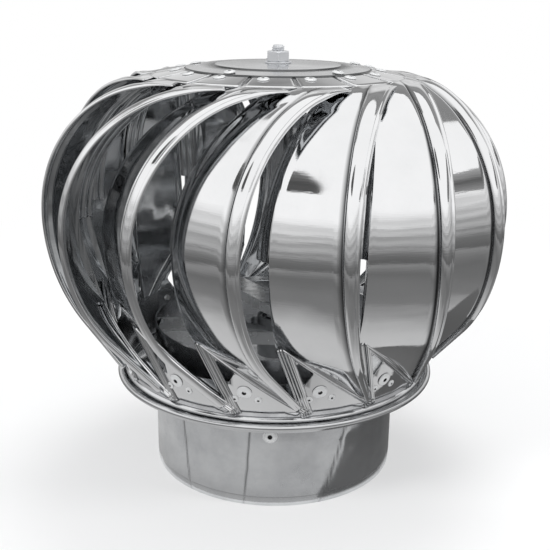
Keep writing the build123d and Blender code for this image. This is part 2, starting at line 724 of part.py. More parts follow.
# Rotor skirt: a flared ring with a rolled bead at its foot, to which every blade is riveted
skirt_bead_radius = skirt_radius(SKIRT_FOOT_HEIGHT) - SHEET / 2
skirt_bead_height = SKIRT_FOOT_HEIGHT - SKIRT_BEAD_RADIUS
with BuildPart() as rotor_skirt:
    with BuildSketch(Plane.XZ):
        with BuildLine():
            Polyline(
                (skirt_radius(skirt_bead_height) - SHEET, skirt_bead_height),
                (skirt_radius(skirt_bead_height), skirt_bead_height),
                (skirt_radius(skirt_top), skirt_top),
                (skirt_radius(skirt_top) - SHEET, skirt_top),
                close=True,
            )
        make_face()
        with Locations((skirt_bead_radius, skirt_bead_height - SKIRT_BEAD_RADIUS / 2)):
            Circle(SKIRT_BEAD_RADIUS)
    revolve(axis=Axis.Z)

# Cross-bar rivets: two through each leaning end and the skirt
crossbar_rivet_height = skirt_top - FOOT_RIVET_DROP
crossbar_rivet_angles = []
for side in (-90, 90):
    spread = degrees(asin(CROSSBAR_RIVET_OFFSET / skirt_radius(crossbar_rivet_height)))
    crossbar_rivet_angles += [side - spread, side + spread]
with crossbar_blank:
    drill([skirt_plane(angle, crossbar_rivet_height) for angle in crossbar_rivet_angles], RIVET_RADIUS)
rotor_crossbar = Rot(0, 0, CROSSBAR_ANGLE - 90) * crossbar_blank.part

bar_turn = CROSSBAR_ANGLE - 90
crossbar_rivet_reach = BAR_THICKNESS + CROSSBAR_RIVET_GRIP
with BuildPart() as crossbar_rivets:
    for angle in crossbar_rivet_angles:
        seat = skirt_plane(angle + bar_turn, crossbar_rivet_height, -FLUSH_GAP)
        with BuildSketch(seat):
            Circle(RIVET_RADIUS)
        extrude(amount=-crossbar_rivet_reach)
        with BuildSketch(seat.offset(-crossbar_rivet_reach)):
            Circle(RIVET_HEAD_RADIUS)
        extrude(amount=-RIVET_HEAD_HEIGHT)

# Foot rivets: one broad-headed and two small ones through every blade foot
foot_rivet_angles = []
small_rivet_angles = []
for index in range(BLADE_COUNT):
    start = BLADE_START + foot_turn + index * pitch
    foot_rivet_angles.append(start + FOOT_RIVET_ANGLE)
    small_rivet_angles += [start + angle for angle in SMALL_FOOT_ANGLES]

foot_rivet_height = skirt_top - FOOT_RIVET_DROP
with rotor_skirt:
    drill([skirt_plane(angle, foot_rivet_height) for angle in foot_rivet_angles], RIVET_RADIUS)
    drill([skirt_plane(a + bar_turn, crossbar_rivet_height) for a in crossbar_rivet_angles], RIVET_RADIUS)

with BuildPart() as foot_rivets:
    for angle in foot_rivet_angles:
        seat = skirt_plane(angle, foot_rivet_height, foot_wall + SEAT_GAP)
        with BuildSketch(seat):
            Circle(WASHER_RADIUS)
        extrude(amount=RIVET_HEAD_HEIGHT)
        with BuildSketch(seat):
            Circle(RIVET_RADIUS)
        extrude(amount=-(foot_wall + SHEET + RIVET_TAIL))

with BuildPart() as small_foot_rivets:
    for angle in small_rivet_angles:
        seat = skirt_plane(angle, skirt_top - SMALL_FOOT_DROP, foot_wall + SEAT_GAP)
        with BuildSketch(seat):
            Circle(SMALL_HEAD_RADIUS)
        extrude(amount=SMALL_HEAD_HEIGHT)

# Crown ring: a shallow cone under the blade tips, with a turned-down rim
crown_rivet_angles = around(BLADE_START + crown_rivet_angle, BLADE_COUNT)
cap_rivet_angles = around(BLADE_START, CAP_RIVET_COUNT)
with BuildPart() as crown_ring:
    with BuildSketch(Plane.XZ):
        with BuildLine():
            Polyline(
                (crown_hole_radius, crown_height(crown_hole_radius) - CROWN_THICKNESS),
                (crown_hole_radius, crown_height(crown_hole_radius)),
                (CROWN_RADIUS, CROWN_EDGE_HEIGHT),
                (CROWN_RADIUS, CROWN_EDGE_HEIGHT - CROWN_RIM),
                (CROWN_RADIUS - CROWN_THICKNESS, CROWN_EDGE_HEIGHT - CROWN_RIM),
                (CROWN_RADIUS - CROWN_THICKNESS, CROWN_EDGE_HEIGHT - CROWN_THICKNESS),
                close=True,
            )
        make_face()
    revolve(axis=Axis.Z)
    drill([crown_plane(crown_rivet_radius, angle) for angle in crown_rivet_angles], RIVET_RADIUS)
    drill([crown_plane(cap_rivet_radius, angle) for angle in cap_rivet_angles], RIVET_RADIUS)

with BuildPart() as crown_rivets:
    for angle in crown_rivet_angles:
        seat = crown_plane(crown_rivet_radius, angle, LAP_GAP + SHEET + SEAT_GAP)
        with BuildSketch(seat):
            Circle(RIVET_HEAD_RADIUS)
        extrude(amount=RIVET_HEAD_HEIGHT)
        with BuildSketch(seat):
            Circle(RIVET_RADIUS)
        extrude(amount=-(SHEET + CROWN_THICKNESS + RIVET_TAIL))

# Cap disc: closes the crown, its flat centre clamped on the axle
cap_centre = crown_height(crown_hole_radius) + CAP_RISE
with BuildPart() as cap_disc:
    with BuildSketch(Plane.XZ):
        with BuildLine():
            Polyline(
                (AXLE_RADIUS + SEAT_GAP, cap_centre),
                (CAP_FLAT_RADIUS, cap_centre),
                (crown_hole_radius, crown_height(crown_hole_radius) + SEAT_GAP),
                (cap_radius, crown_height(cap_radius) + SEAT_GAP),
                (cap_radius, crown_height(cap_radius) + SEAT_GAP + CAP_THICKNESS),
                (crown_hole_radius, crown_height(crown_hole_radius) + SEAT_GAP + CAP_THICKNESS),
                (CAP_FLAT_RADIUS, cap_centre + CAP_THICKNESS),
                (AXLE_RADIUS + SEAT_GAP, cap_centre + CAP_THICKNESS),
                close=True,
            )
        make_face()
    revolve(axis=Axis.Z)
    drill([crown_plane(cap_rivet_radius, angle) for angle in cap_rivet_angles], RIVET_RADIUS)

with BuildPart() as cap_rivets:
    for angle in cap_rivet_angles:
        seat = crown_plane(cap_rivet_radius, angle, CAP_THICKNESS + 3 * SEAT_GAP)
        with BuildSketch(seat):
            Circle(RIVET_HEAD_RADIUS)
        extrude(amount=RIVET_HEAD_HEIGHT)
        with BuildSketch(seat):
            Circle(RIVET_RADIUS)
        extrude(amount=-(CAP_THICKNESS + CROWN_THICKNESS + RIVET_TAIL))

# Nuts and washer on the axle
cap_top = cap_centre + CAP_THICKNESS
with BuildPart() as top_washer:
    with BuildSketch(Plane.XY.offset(cap_top)):
        Circle(TOP_WASHER_RADIUS)
        Circle(AXLE_RADIUS + SEAT_GAP, mode=Mode.SUBTRACT)
    extrude(amount=TOP_WASHER_THICKNESS)

nut_feet = {
    "top_nut": cap_top + TOP_WASHER_THICKNESS,
    "cap_lock_nut": cap_centre - AXLE_NUT_HEIGHT,
    "crossbar_nut": crossbar_top,
    "axle_foot_nut": bearing_feet["lower"] - AXLE_NUT_HEIGHT,
}
nuts = {}
for name, foot in nut_feet.items():
    with BuildPart() as nut:
        with BuildSketch(Plane.XY.offset(foot)):
            RegularPolygon(AXLE_NUT_FLATS / 2, 6, major_radius=False)
            Circle(AXLE_RADIUS + SEAT_GAP, mode=Mode.SUBTRACT)
        extrude(amount=AXLE_NUT_HEIGHT)
    nuts[name] = nut.part

# Write every sub-part
pieces = {
    "flue_collar": flue_collar.part,
    "neck_sleeve": neck_sleeve.part,
    "flange_ring": flange_ring.part,
    "collar_washers": collar_washers.part,
    "collar_rivets": collar_rivets.part,
    "flange_rivets": flange_rivets.part,
    "bearing_bridge": bearing_bridge.part,
    "bridge_rivets": bridge_rivets.part,
    "bearing_housing": bearing_housing.part,
    "housing_bolts": housing_bolts.part,
    "housing_nuts": housing_nuts.part,
    "axle": axle.part,
    "rotor_crossbar": rotor_crossbar,
    "crossbar_rivets": crossbar_rivets.part,
    "rotor_skirt": rotor_skirt.part,
    "foot_rivets": foot_rivets.part,
    "small_foot_rivets": small_foot_rivets.part,
    "crown_ring": crown_ring.part,
    "crown_rivets": crown_rivets.part,
    "cap_disc": cap_disc.part,
    "cap_rivets": cap_rivets.part,
    "top_washer": top_washer.part,
}
pieces.update(races)
pieces.update(spacer_parts)
pieces.update(nuts)
for index, piece in enumerate(blades):
    pieces[f"blade_{index + 1:02d}"] = piece
for name, piece in pieces.items():
    write(piece, name)
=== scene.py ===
from math import asin, atan2, cos, degrees, exp, pi, radians, sin

import bmesh
import bpy
from mathutils import Matrix, Vector, noise


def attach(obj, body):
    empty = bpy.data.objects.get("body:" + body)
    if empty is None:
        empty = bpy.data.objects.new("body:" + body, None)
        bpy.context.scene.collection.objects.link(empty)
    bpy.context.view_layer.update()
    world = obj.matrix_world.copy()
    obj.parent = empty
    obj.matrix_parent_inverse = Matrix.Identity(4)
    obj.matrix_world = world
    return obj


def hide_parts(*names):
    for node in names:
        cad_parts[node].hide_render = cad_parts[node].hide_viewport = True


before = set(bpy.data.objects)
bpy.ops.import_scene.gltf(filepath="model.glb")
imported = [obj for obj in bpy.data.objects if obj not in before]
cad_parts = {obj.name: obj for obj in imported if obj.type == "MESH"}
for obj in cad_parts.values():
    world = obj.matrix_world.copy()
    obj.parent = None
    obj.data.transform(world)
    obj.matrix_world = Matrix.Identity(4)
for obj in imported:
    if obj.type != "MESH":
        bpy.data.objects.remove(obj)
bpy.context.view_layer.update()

MM = 0.001

# Sizes of the cowl in millimetres
SHEET = 0.8                # wall of the blades, collar, flange and skirt
DISC = 1.2                 # wall of the crown, the cap and the washer
LAP_GAP = 0.05             # air between two sheets that lap
HEAD_GAP = 0.02            # air under a rivet's head
BLADE_COUNT = 15
BLADE_START = 40.7         # angle of the first blade
PITCH = 360 / BLADE_COUNT
BALL_RADIUS = 186.4
EQUATOR = 215.0            # height of the ball's widest circle
COLLAR_RADIUS = 100.0
COLLAR_TOP = 75.0
JOINT_RADIUS = 100.4       # the collar's swelled top, where the neck is riveted in
SKIRT_FOOT = 88.0
SKIRT_FOOT_RADIUS = 123.5
SKIRT_TOP = 117.0
SKIRT_FLARE = 0.30         # how far the skirt widens for each millimetre of height
CROWN_RADIUS = 98.5
CROWN_EDGE = 322.0         # height of the crown's rim
CROWN_SLOPE = 0.18
CROWN_GAP = 0.4            # air between the crown's rim and the blades
CROWN_MOUTH = 62.0         # radius of the crown's hole
CAP_RADIUS = 72.0
AXLE_RADIUS = 5.0
AXLE_BORE = 5.02
SPINDLE = 0.0001           # where a solid bar's outline meets the axis


def clamp(value, low=0.0, high=1.0):
    """The value, kept between two limits."""
    return min(high, max(low, value))


# Camera
camera_data = bpy.data.cameras.new("cowl_camera")
camera_data.lens = 63.57
camera_data.sensor_width = 36.0
camera_data.shift_x = -0.00085
camera_data.clip_start = 0.05
camera_data.clip_end = 60.0
camera = bpy.data.objects.new("cowl_camera", camera_data)
bpy.context.scene.collection.objects.link(camera)
camera.matrix_world = (
    Matrix.Translation((0, -0.771, 0.3952))
    @ Matrix.Rotation(radians(90 - 17.07), 4, "X")
    @ Matrix.Rotation(0.012, 4, "Z")
)
bpy.context.scene.camera = camera
bpy.context.scene.view_settings.view_transform = "Standard"


# Materials
def linear(hex_colour):
    """Linear colour of an sRGB hex value."""
    channels = []
    for start in (0, 2, 4):
        value = int(hex_colour[start:start + 2], 16) / 255
        channels.append(value / 12.92 if value <= 0.04045 else ((value + 0.055) / 1.055) ** 2.4)
    return (*channels, 1.0)


def per_mm(size):
    """Texture scale that makes a pattern's cells about so many millimetres wide."""
    return 1 / (size * MM)


def add(tree, kind, settings=None, links=None):
    """Adds one node with its settings and links."""
    node = tree.nodes.new(kind)
    for key, value in (settings or {}).items():
        if isinstance(key, int) or key in node.inputs:
            node.inputs[key].default_value = value
        else:
            setattr(node, key, value)
    for key, source in (links or {}).items():
        tree.links.new(source, node.inputs[key])
    return node


CREASE_SHADE = "6E6F70"            # painted shade in creases, grooves and along edges
HOLE_SHADE = "1E1E1F"
SMEAR_SIZE = 34            # smudges that handling leaves
LINE_SIZE = 14             # roll lines, drawn out to this length
LINE_CLOSENESS = 16.0      # how many times closer together the roll lines lie
SKIN_SIZE = 2.2            # fine skin of the sheet, drawn coarser than it is so that it shows
SKIN_DEPTH = 0.002
CREASE_ROUGHNESS = 0.18


def rolled_steel(name, colour, shade, *, roughness, smudge, wave, wave_depth, line_depth,
                 painted_shade=False):
    """Stainless sheet: slow waves from rolling, fine roll lines, smudges and dull patches, and
    painted shade where creases are marked.
    """
    material = bpy.data.materials.new(name)
    material.use_nodes = True
    tree = material.node_tree
    shader = tree.nodes["Principled BSDF"]
    shader.inputs["Metallic"].default_value = 1.0
    place = add(tree, "ShaderNodeTexCoord").outputs["Object"]
    smear = add(tree, "ShaderNodeTexNoise",
                {"Scale": per_mm(SMEAR_SIZE), "Detail": 5.0, "Roughness": 0.62},
                {"Vector": place})
    skin = add(tree, "ShaderNodeTexNoise", {"Scale": per_mm(SKIN_SIZE), "Detail": 3.0},
               {"Vector": place})
    tint = add(tree, "ShaderNodeMix",
               {"data_type": "RGBA", 6: linear(colour), 7: linear(shade)},
               {0: smear.outputs["Fac"]})
    dull = add(tree, "ShaderNodeMapRange",
               {"From Min": 0.38, "From Max": 0.72,
                "To Min": roughness, "To Max": roughness + smudge},
               {"Value": smear.outputs["Fac"]})
    body = tint.outputs[2]
    rough = dull.outputs["Result"]
    # painted shade: the marked creases and edges are darkened and dulled
    if painted_shade:
        shade_mask = add(tree, "ShaderNodeAttribute", {"attribute_name": "crease"}).outputs["Fac"]
        body = add(tree, "ShaderNodeMix", {"data_type": "RGBA", 7: linear(CREASE_SHADE)},
                   {0: shade_mask, 6: body}).outputs[2]
        rough = add(tree, "ShaderNodeMath", {"operation": "MULTIPLY_ADD", 1: CREASE_ROUGHNESS},
                    {0: shade_mask, 2: rough}).outputs[0]
    tree.links.new(body, shader.inputs["Base Color"])
    tree.links.new(rough, shader.inputs["Roughness"])
    waves = add(tree, "ShaderNodeTexNoise", {"Scale": per_mm(wave), "Detail": 1.0},
                {"Vector": place})
    squeeze = add(tree, "ShaderNodeMapping", {"Scale": (1.0, 1.0, LINE_CLOSENESS)},
                  {"Vector": place})
    lines = add(tree, "ShaderNodeTexNoise", {"Scale": per_mm(LINE_SIZE), "Detail": 4.0},
                {"Vector": squeeze.outputs[0]})
    slow = add(tree, "ShaderNodeBump", {"Distance": wave_depth * MM},
               {"Height": waves.outputs["Fac"]})
    lined = add(tree, "ShaderNodeBump", {"Distance": line_depth * MM},
                {"Height": lines.outputs["Fac"], "Normal": slow.outputs[0]})
    grained = add(tree, "ShaderNodeBump", {"Distance": SKIN_DEPTH * MM},
                  {"Height": skin.outputs["Fac"], "Normal": lined.outputs[0]})
    tree.links.new(grained.outputs[0], shader.inputs["Normal"])
    return material


PATCH_SIZE = 9             # worn patches on small metal parts


def plain_metal(name, colour, shade, *, roughness, grain, grain_depth, painted_shade=False, polish=1.0):
    """Turned, pressed or plated metal: an even satin skin with a fine grain and worn patches.

    The grain is drawn coarser than it is so that it shows.
    """
    material = bpy.data.materials.new(name)
    material.use_nodes = True
    tree = material.node_tree
    shader = tree.nodes["Principled BSDF"]
    shader.inputs["Metallic"].default_value = polish
    place = add(tree, "ShaderNodeTexCoord").outputs["Object"]
    grains = add(tree, "ShaderNodeTexNoise", {"Scale": per_mm(grain), "Detail": 4.0},
                 {"Vector": place})
    patches = add(tree, "ShaderNodeTexNoise", {"Scale": per_mm(PATCH_SIZE), "Detail": 3.0},
                  {"Vector": place})
    tint = add(tree, "ShaderNodeMix",
               {"data_type": "RGBA", 6: linear(colour), 7: linear(shade)},
               {0: patches.outputs["Fac"]})
    rough = add(tree, "ShaderNodeMapRange",
                {"From Min": 0.3, "From Max": 0.7,
                 "To Min": roughness - 0.06, "To Max": roughness + 0.12},
                {"Value": patches.outputs["Fac"]})
    bump = add(tree, "ShaderNodeBump", {"Distance": grain_depth * MM},
               {"Height": grains.outputs["Fac"]})
    body = tint.outputs[2]
    # painted shade, near black, in a fastener's stem hole and under its brim
    if painted_shade:
        shade_mask = add(tree, "ShaderNodeAttribute", {"attribute_name": "crease"}).outputs["Fac"]
        body = add(tree, "ShaderNodeMix", {"data_type": "RGBA", 7: linear(HOLE_SHADE)},
                   {0: shade_mask, 6: body}).outputs[2]
    tree.links.new(body, shader.inputs["Base Color"])
    tree.links.new(rough.outputs["Result"], shader.inputs["Roughness"])
    tree.links.new(bump.outputs[0], shader.inputs["Normal"])
    return material


# Bright-annealed stainless sheet, rolled: a near mirror with slow waves and painted shade in its
# grooves
blade_steel = rolled_steel(
    "bright_annealed_stainless", "F8F8F9", "E8E9EA", roughness=0.03, smudge=0.07,
    wave=40, wave_depth=0.42, line_depth=0.016, painted_shade=True)
# The inner face of the same sheet, never polished and with shorter waves: darker, partly as
# painted shade inside the ball
inner_steel = rolled_steel(
    "unpolished_and_shaded_stainless_inside", "D8DADB", "ABADB0", roughness=0.05, smudge=0.08,
    wave=20, wave_depth=0.45, line_depth=0.03)
# The same sheet where it is drawn round the collar: duller and more dented, with painted shade at
# its hem and creases
collar_steel = rolled_steel(
    "drawn_stainless_collar", "F0F1F2", "B4B6B9", roughness=0.13, smudge=0.16,
    wave=26, wave_depth=0.8, line_depth=0.02, painted_shade=True)
# Spun rings and discs of the same sheet: a softer mirror, with painted shade at the cap's rim and
# step
spun_steel = rolled_steel(
    "spun_stainless", "E6E7E8", "CCCDCF", roughness=0.10, smudge=0.12,
    wave=38, wave_depth=0.2, line_depth=0.02, painted_shade=True)
# Aluminium blind rivets: pale and satin, dulled by oxide, with painted shade in the stem hole and
# under the brim
rivet_metal = plain_metal(
    "satin_aluminium_rivet", "F2F3F3", "DCDDDE", roughness=0.40, grain=1.2, grain_depth=0.02,
    painted_shade=True, polish=0.45)
# Zinc-plated nuts, washers and axle: cool pale grey, slightly crystalline
zinc_metal = plain_metal(
    "zinc_plated_steel", "E9EAEC", "CCCED1", roughness=0.30, grain=0.9, grain_depth=0.03,
    polish=0.55)
# Folded bars of bright sheet inside the ball: pale and soft, so that they show in the gaps
bar_metal = plain_metal(
    "bright_folded_bar", "F0F1F2", "D8DADB", roughness=0.22, grain=1.6, grain_depth=0.02,
    polish=0.4)
# The pressed bearing cup, left as the mill made it: a dull rolled skin
mill_metal = plain_metal(
    "mill_finish_steel", "AEB0B2", "85878A", roughness=0.38, grain=1.6, grain_depth=0.03)
# Ground bearing steel: hard and bright
bearing_metal = plain_metal(
    "ground_bearing_steel", "C9CACC", "A9AAAD", roughness=0.16, grain=0.8, grain_depth=0.01)


# Small helpers
def finished(shape, name, material, body, nodes, flat_angle=35):
    """Turns a bmesh in millimetres into a finished piece that rides on its body."""
    bmesh.ops.scale(shape, vec=(MM, MM, MM), verts=shape.verts)
    mesh = bpy.data.meshes.new(name)
    shape.to_mesh(mesh)
    shape.free()
    mesh.polygons.foreach_set("use_smooth", [True] * len(mesh.polygons))
    mesh.set_sharp_from_angle(angle=radians(flat_angle))
    mesh.materials.append(material)
    piece = bpy.data.objects.new(name, mesh)
    bpy.context.scene.collection.objects.link(piece)
    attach(piece, body)
    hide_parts(*nodes)
    return piece


def joined(parts):
    """One bmesh from several, which it uses up."""
    between = bpy.data.meshes.new("between")
    whole = bmesh.new()
    for part in parts:
        part.to_mesh(between)
        part.free()
        whole.from_mesh(between)
    bpy.data.meshes.remove(between)
    return whole


def facing(shape, aim):
    """Turns an open sheet's faces so that most of them look along the aim."""
    bmesh.ops.recalc_face_normals(shape, faces=shape.faces)
    if sum(face.normal.dot(aim) for face in shape.faces) < 0:
        bmesh.ops.reverse_faces(shape, faces=shape.faces)
    return shape


def sheet_grid(across_count, along_count):
    """A flat grid from -1 to 1 both ways, and its layer for painted shade in creases."""
    shape = bmesh.new()
    mark = shape.verts.layers.float.new("crease")
    bmesh.ops.create_grid(shape, x_segments=across_count, y_segments=along_count, size=1)
    return shape, mark


def profile_chain(shape, points, closed=True):
    """Adds an outline of (radius, height) points in the XZ plane; returns its edges."""
    verts = [shape.verts.new((r, 0, z)) for r, z in points]
    pairs = list(zip(verts, verts[1:]))
    if closed:
        pairs.append((verts[-1], verts[0]))
    return [shape.edges.new(pair) for pair in pairs]


def turned(points, steps=180, closed=True):
    """A ring or disc turned round the axis from its outline."""
    shape = bmesh.new()
    edges = profile_chain(shape, points, closed)
    bmesh.ops.spin(shape, geom=edges + list(shape.verts), cent=(0, 0, 0), axis=(0, 0, 1),
                   dvec=(0, 0, 0), angle=2 * pi, steps=steps, use_merge=True)
    bmesh.ops.remove_doubles(shape, verts=shape.verts, dist=1e-5)
    bmesh.ops.recalc_face_normals(shape, faces=shape.faces)
    return shape


def shade_band(shape, inner, outer, low, high):
    """Marks the band of a turned piece between two radii and two heights for painted shade."""
    mark = shape.verts.layers.float.get("crease") or shape.verts.layers.float.new("crease")
    for vertex in shape.verts:
        if inner <= vertex.co.xy.length <= outer and low <= vertex.co.z <= high:
            vertex[mark] = 1.0
    return shape


def arc(centre, radius, start, end, steps):
    """Points of an arc; angles in degrees, from the +radius direction towards +height."""
    turns = [radians(start + (end - start) * i / steps) for i in range(steps + 1)]
    return [(centre[0] + radius * cos(a), centre[1] + radius * sin(a)) for a in turns]


def direction(angle):
    """Unit vector pointing out from the axis at an angle from -Y towards +X."""
    return Vector((sin(radians(angle)), -cos(radians(angle)), 0))


def side_of(angle):
    """Unit vector along the rim at an angle."""
    return Vector((cos(radians(angle)), sin(radians(angle)), 0))


def up(height):
    """Vector straight up."""
    return Vector((0, 0, height))


def seat(origin, side, normal):
    """Matrix that places a fastener made along +Z on a seat."""
    upward = normal.cross(side)
    return Matrix((
        (side.x, upward.x, normal.x, origin.x),
        (side.y, upward.y, normal.y, origin.y),
        (side.z, upward.z, normal.z, origin.z),
        (0, 0, 0, 1),
    ))


def skirt_radius(height):
    """Outer radius of the flared skirt at a height."""
    return SKIRT_FOOT_RADIUS + (height - SKIRT_FOOT) * SKIRT_FLARE


def crown_height(radius):
    """Height of the crown ring's upper face at a radius."""
    return CROWN_EDGE + (CROWN_RADIUS - radius) * CROWN_SLOPE


def round_seat(radius, angle, height):
    """Seat on an upright round wall."""
    return seat(direction(angle) * radius + up(height), side_of(angle), direction(angle))


def skirt_seat(angle, height, lift):
    """Seat on the flared skirt, raised along its normal."""
    flare = atan2(SKIRT_FLARE, 1)
    normal = direction(angle) * cos(flare) - up(sin(flare))
    origin = direction(angle) * skirt_radius(height) + up(height) + normal * lift
    return seat(origin, side_of(angle), normal)


def crown_seat(radius, angle, lift):
    """Seat on the crown cone, raised along its normal."""
    slope = atan2(CROWN_SLOPE, 1)
    normal = direction(angle) * sin(slope) + up(cos(slope))
    origin = direction(angle) * radius + up(crown_height(radius)) + normal * lift
    return seat(origin, side_of(angle), normal)


STEM_HOLE_DEPTH = 1.6


def blind_rivet(head, height, shank, depth, hole=1.15, brim=0.35):
    """Outline of a blind rivet: domed brim, sunken stem hole and shank."""
    dome = [(head * cos(radians(a)), brim + (height - brim) * sin(radians(a)))
            for a in (60, 45, 30, 15, 0)]
    return [
        (SPINDLE, height - STEM_HOLE_DEPTH), (hole * 0.9, height - STEM_HOLE_DEPTH + 0.1),
        (hole, height - 0.3), (hole + 0.3, height), *dome,
        (head, 0.0), (shank, 0.0), (shank, -depth), (SPINDLE, -depth),
    ]


def fasteners(outline, seats, steps=28):
    """One bmesh with a turned fastener on every seat, with painted shade in its hole and under its
    brim.
    """
    single = turned(outline, steps, closed=False)
    mark = single.verts.layers.float.new("crease")
    mouth = max(z for _, z in outline)
    brim = max(r for r, _ in outline)
    hole = outline[2][0] if outline[0][0] == SPINDLE else 0.0
    for vertex in single.verts:
        radius, height = vertex.co.xy.length, vertex.co.z
        in_hole = mouth - STEM_HOLE_DEPTH - 0.1 < height < mouth - 0.1
        if hole and radius < hole + 0.01 and in_hole:
            vertex[mark] = 1.0
        elif radius > brim - 0.01 and height < 0.1:
            vertex[mark] = 0.85
    parts = []
    for place in seats:
        parts.append(single.copy())
        bmesh.ops.transform(parts[-1], matrix=place, verts=parts[-1].verts)
    single.free()
    return joined(parts)


# Blades

# The blade's path up from the equator: an upright plane that passes the axis at an offset,
# with a bend that leads into a straight run at the foot and at the tip
BLADE_OFFSET = 100.15
FOOT_DEPTH, FOOT_DROP, FOOT_RUN = 67.75, 117.4, 46.0
TIP_DEPTH, TIP_RISE, TIP_RUN = 117.2, 110.75, 34.0
turn = asin(BLADE_OFFSET / BALL_RADIUS)
along = Vector((sin(turn), cos(turn), 0))
across = Vector((-cos(turn), sin(turn), 0))
path_start = Vector((0, -BALL_RADIUS, EQUATOR))


def bend(inward, rise, run):
    """Radius and angle of a bend that leads into a straight run and ends at a given place."""
    angle = 2 * atan2(inward, rise + run)
    return (rise - run * cos(angle)) / sin(angle), angle


lower_radius, lower_angle = bend(FOOT_DEPTH, FOOT_DROP, FOOT_RUN)
upper_radius, upper_angle = bend(TIP_DEPTH, TIP_RISE, TIP_RUN)
path_foot = -(lower_radius * lower_angle + FOOT_RUN)
path_tip = upper_radius * upper_angle + TIP_RUN


def path_point(distance):
    """Point and lean of the blade's path at a distance up from the equator."""
    below = distance < 0
    radius, full = (lower_radius, lower_angle) if below else (upper_radius, upper_angle)
    lean = min(abs(distance) / radius, full)
    straight = abs(distance) - radius * lean
    inward = radius * (1 - cos(lean)) + straight * sin(lean)
    rise = radius * sin(lean) + straight * cos(lean)
    sign = -1 if below else 1
    return path_start + along * inward + up(sign * rise), sign * lean


ROWS = 140                 # of the grid, along the blade
COLUMNS = 50
RIB_SHARE = 0.36           # share of the grid's columns that the rib takes
FLANGE_SHARE = 0.36
RIB_WIDTH = 12.0
RIB_FOOT_LOSS = 7.0        # how much narrower the rib is at the foot
RIB_TIP_GAIN = 5.0
RIB_CREST = 2.6
LIP_PART = 0.22            # part of the rib's width that is its rolled lip
LIP_CREST = 1.0
LIP_TURN = 2.2             # how far the lip's edge is rolled in
GROOVE_DEPTH = 1.3
GROOVE_WIDTH = 0.9
PANEL_EDGE = 58.0          # from the rib's edge to the fold of the flange
PANEL_TIP_LOSS = 30.0
FLANGE_WIDTH = 19.0
FLANGE_TIP_LOSS = 11.0
FLANGE_FOLD = radians(40)
FOLD_REACH = 3.0           # width over which the fold bends
FLANGE_GROOVES = 3
FLANGE_RIDGE = 0.75
SHORT_WAVE = 0.10          # depth of the short and the long waves that rolling leaves
LONG_WAVE = 0.30


def section_point(distance, share):
    """Offsets across and inward and the painted shade of the sheet's grooves, at a share of its
    width.

    The share runs from the rib's edge to the edge of the folded flange.
    """
    upper = max(distance / path_tip, 0.0)
    lower = max(distance / path_foot, 0.0)
    taper = upper ** 1.6
    rib = RIB_WIDTH - RIB_FOOT_LOSS * lower + RIB_TIP_GAIN * upper
    panel = PANEL_EDGE - PANEL_TIP_LOSS * taper
    flange = FLANGE_WIDTH - FLANGE_TIP_LOSS * taper
    crest = RIB_CREST * (1 - 0.6 * upper ** 3)
    fold_share = 1 - FLANGE_SHARE
    if share < RIB_SHARE:
        sideways = rib * share / RIB_SHARE
    elif share < fold_share:
        sideways = rib + (panel - rib) * (share - RIB_SHARE) / (fold_share - RIB_SHARE)
    else:
        sideways = panel
    lip_width = LIP_PART * rib
    groove = exp(-((sideways - rib) / GROOVE_WIDTH) ** 2)
    bead = clamp((sideways - lip_width) / (rib - lip_width))
    lip = clamp(sideways / lip_width)
    inward = GROOVE_DEPTH * groove - crest * sin(pi * bead) ** 0.85
    inward += LIP_TURN * (1 - lip) ** 2 - LIP_CREST * sin(pi * lip)
    # the third value is painted shade: in the groove beside the rib, and in the flange's grooves
    if share <= fold_share:
        return sideways, inward, groove
    part = (share - fold_share) / FLANGE_SHARE
    reach = flange * part
    fold = FLANGE_FOLD * clamp(reach / FOLD_REACH)
    swing = cos(2 * pi * FLANGE_GROOVES * part)
    ridge = FLANGE_RIDGE * (1 - swing) * (1 if part < 0.97 else 0.4)
    sideways += reach * cos(fold) + sin(fold) * ridge
    inward += reach * sin(fold) - cos(fold) * ridge
    return sideways, inward, 0.8 * max(0.0, swing) ** 6


def blade_point(distance, share):
    """Point of the blade's outer face with the waves that rolling leaves, and its painted shade.
    """
    base, lean = path_point(distance)
    inward_axis = along * cos(lean) - up(sin(lean))
    sideways, inward, crease = section_point(distance, share)
    short = noise.noise(Vector((distance / 17.0, sideways / 70.0, 3.1)))
    long = noise.noise(Vector((distance / 60.0, sideways / 45.0, 9.4)))
    inward += SHORT_WAVE * short + LONG_WAVE * long
    return base + across * sideways + inward_axis * inward, crease


def cone_radius(height):
    """Radius of the sheet that lies on the skirt, and above it on the same cone."""
    return skirt_radius(height) + LAP_GAP + SHEET


def lap_height(radius):
    """Height of the outer face of sheet that laps on the crown ring."""
    return crown_height(radius) + LAP_GAP + SHEET


def crown_wall(height):
    """Radius at which the sheet stops at the crown's rim, and none lower down."""
    return CROWN_RADIUS + CROWN_GAP if height > CROWN_EDGE - 30 else 0.0


COARSE_STEPS = 90
HALVINGS = 14


def column_end(share, furthest, wall_radius):
    """Distance along a column of the sheet at which it meets a round wall, or its furthest end."""
    def blocked(distance):
        point, _ = blade_point(distance, share)
        return point.xy.length < wall_radius(point.z)

    coarse = [furthest * step / COARSE_STEPS for step in range(COARSE_STEPS + 1)]
    for clear, tried in zip(coarse, coarse[1:]):
        if blocked(tried):
            break
    else:
        return furthest
    for _ in range(HALVINGS):
        middle = (clear + tried) / 2
        if blocked(middle):
            tried = middle
        else:
            clear = middle
    return clear


FLATTENED_FROM = 22        # how far outside the crown's rim the tip starts to flatten
FLATTENED_OVER = 16
FLATTENED_DROP = 7.0       # how far the tip may be pressed down, or raised
FLATTENED_RISE = 2.0


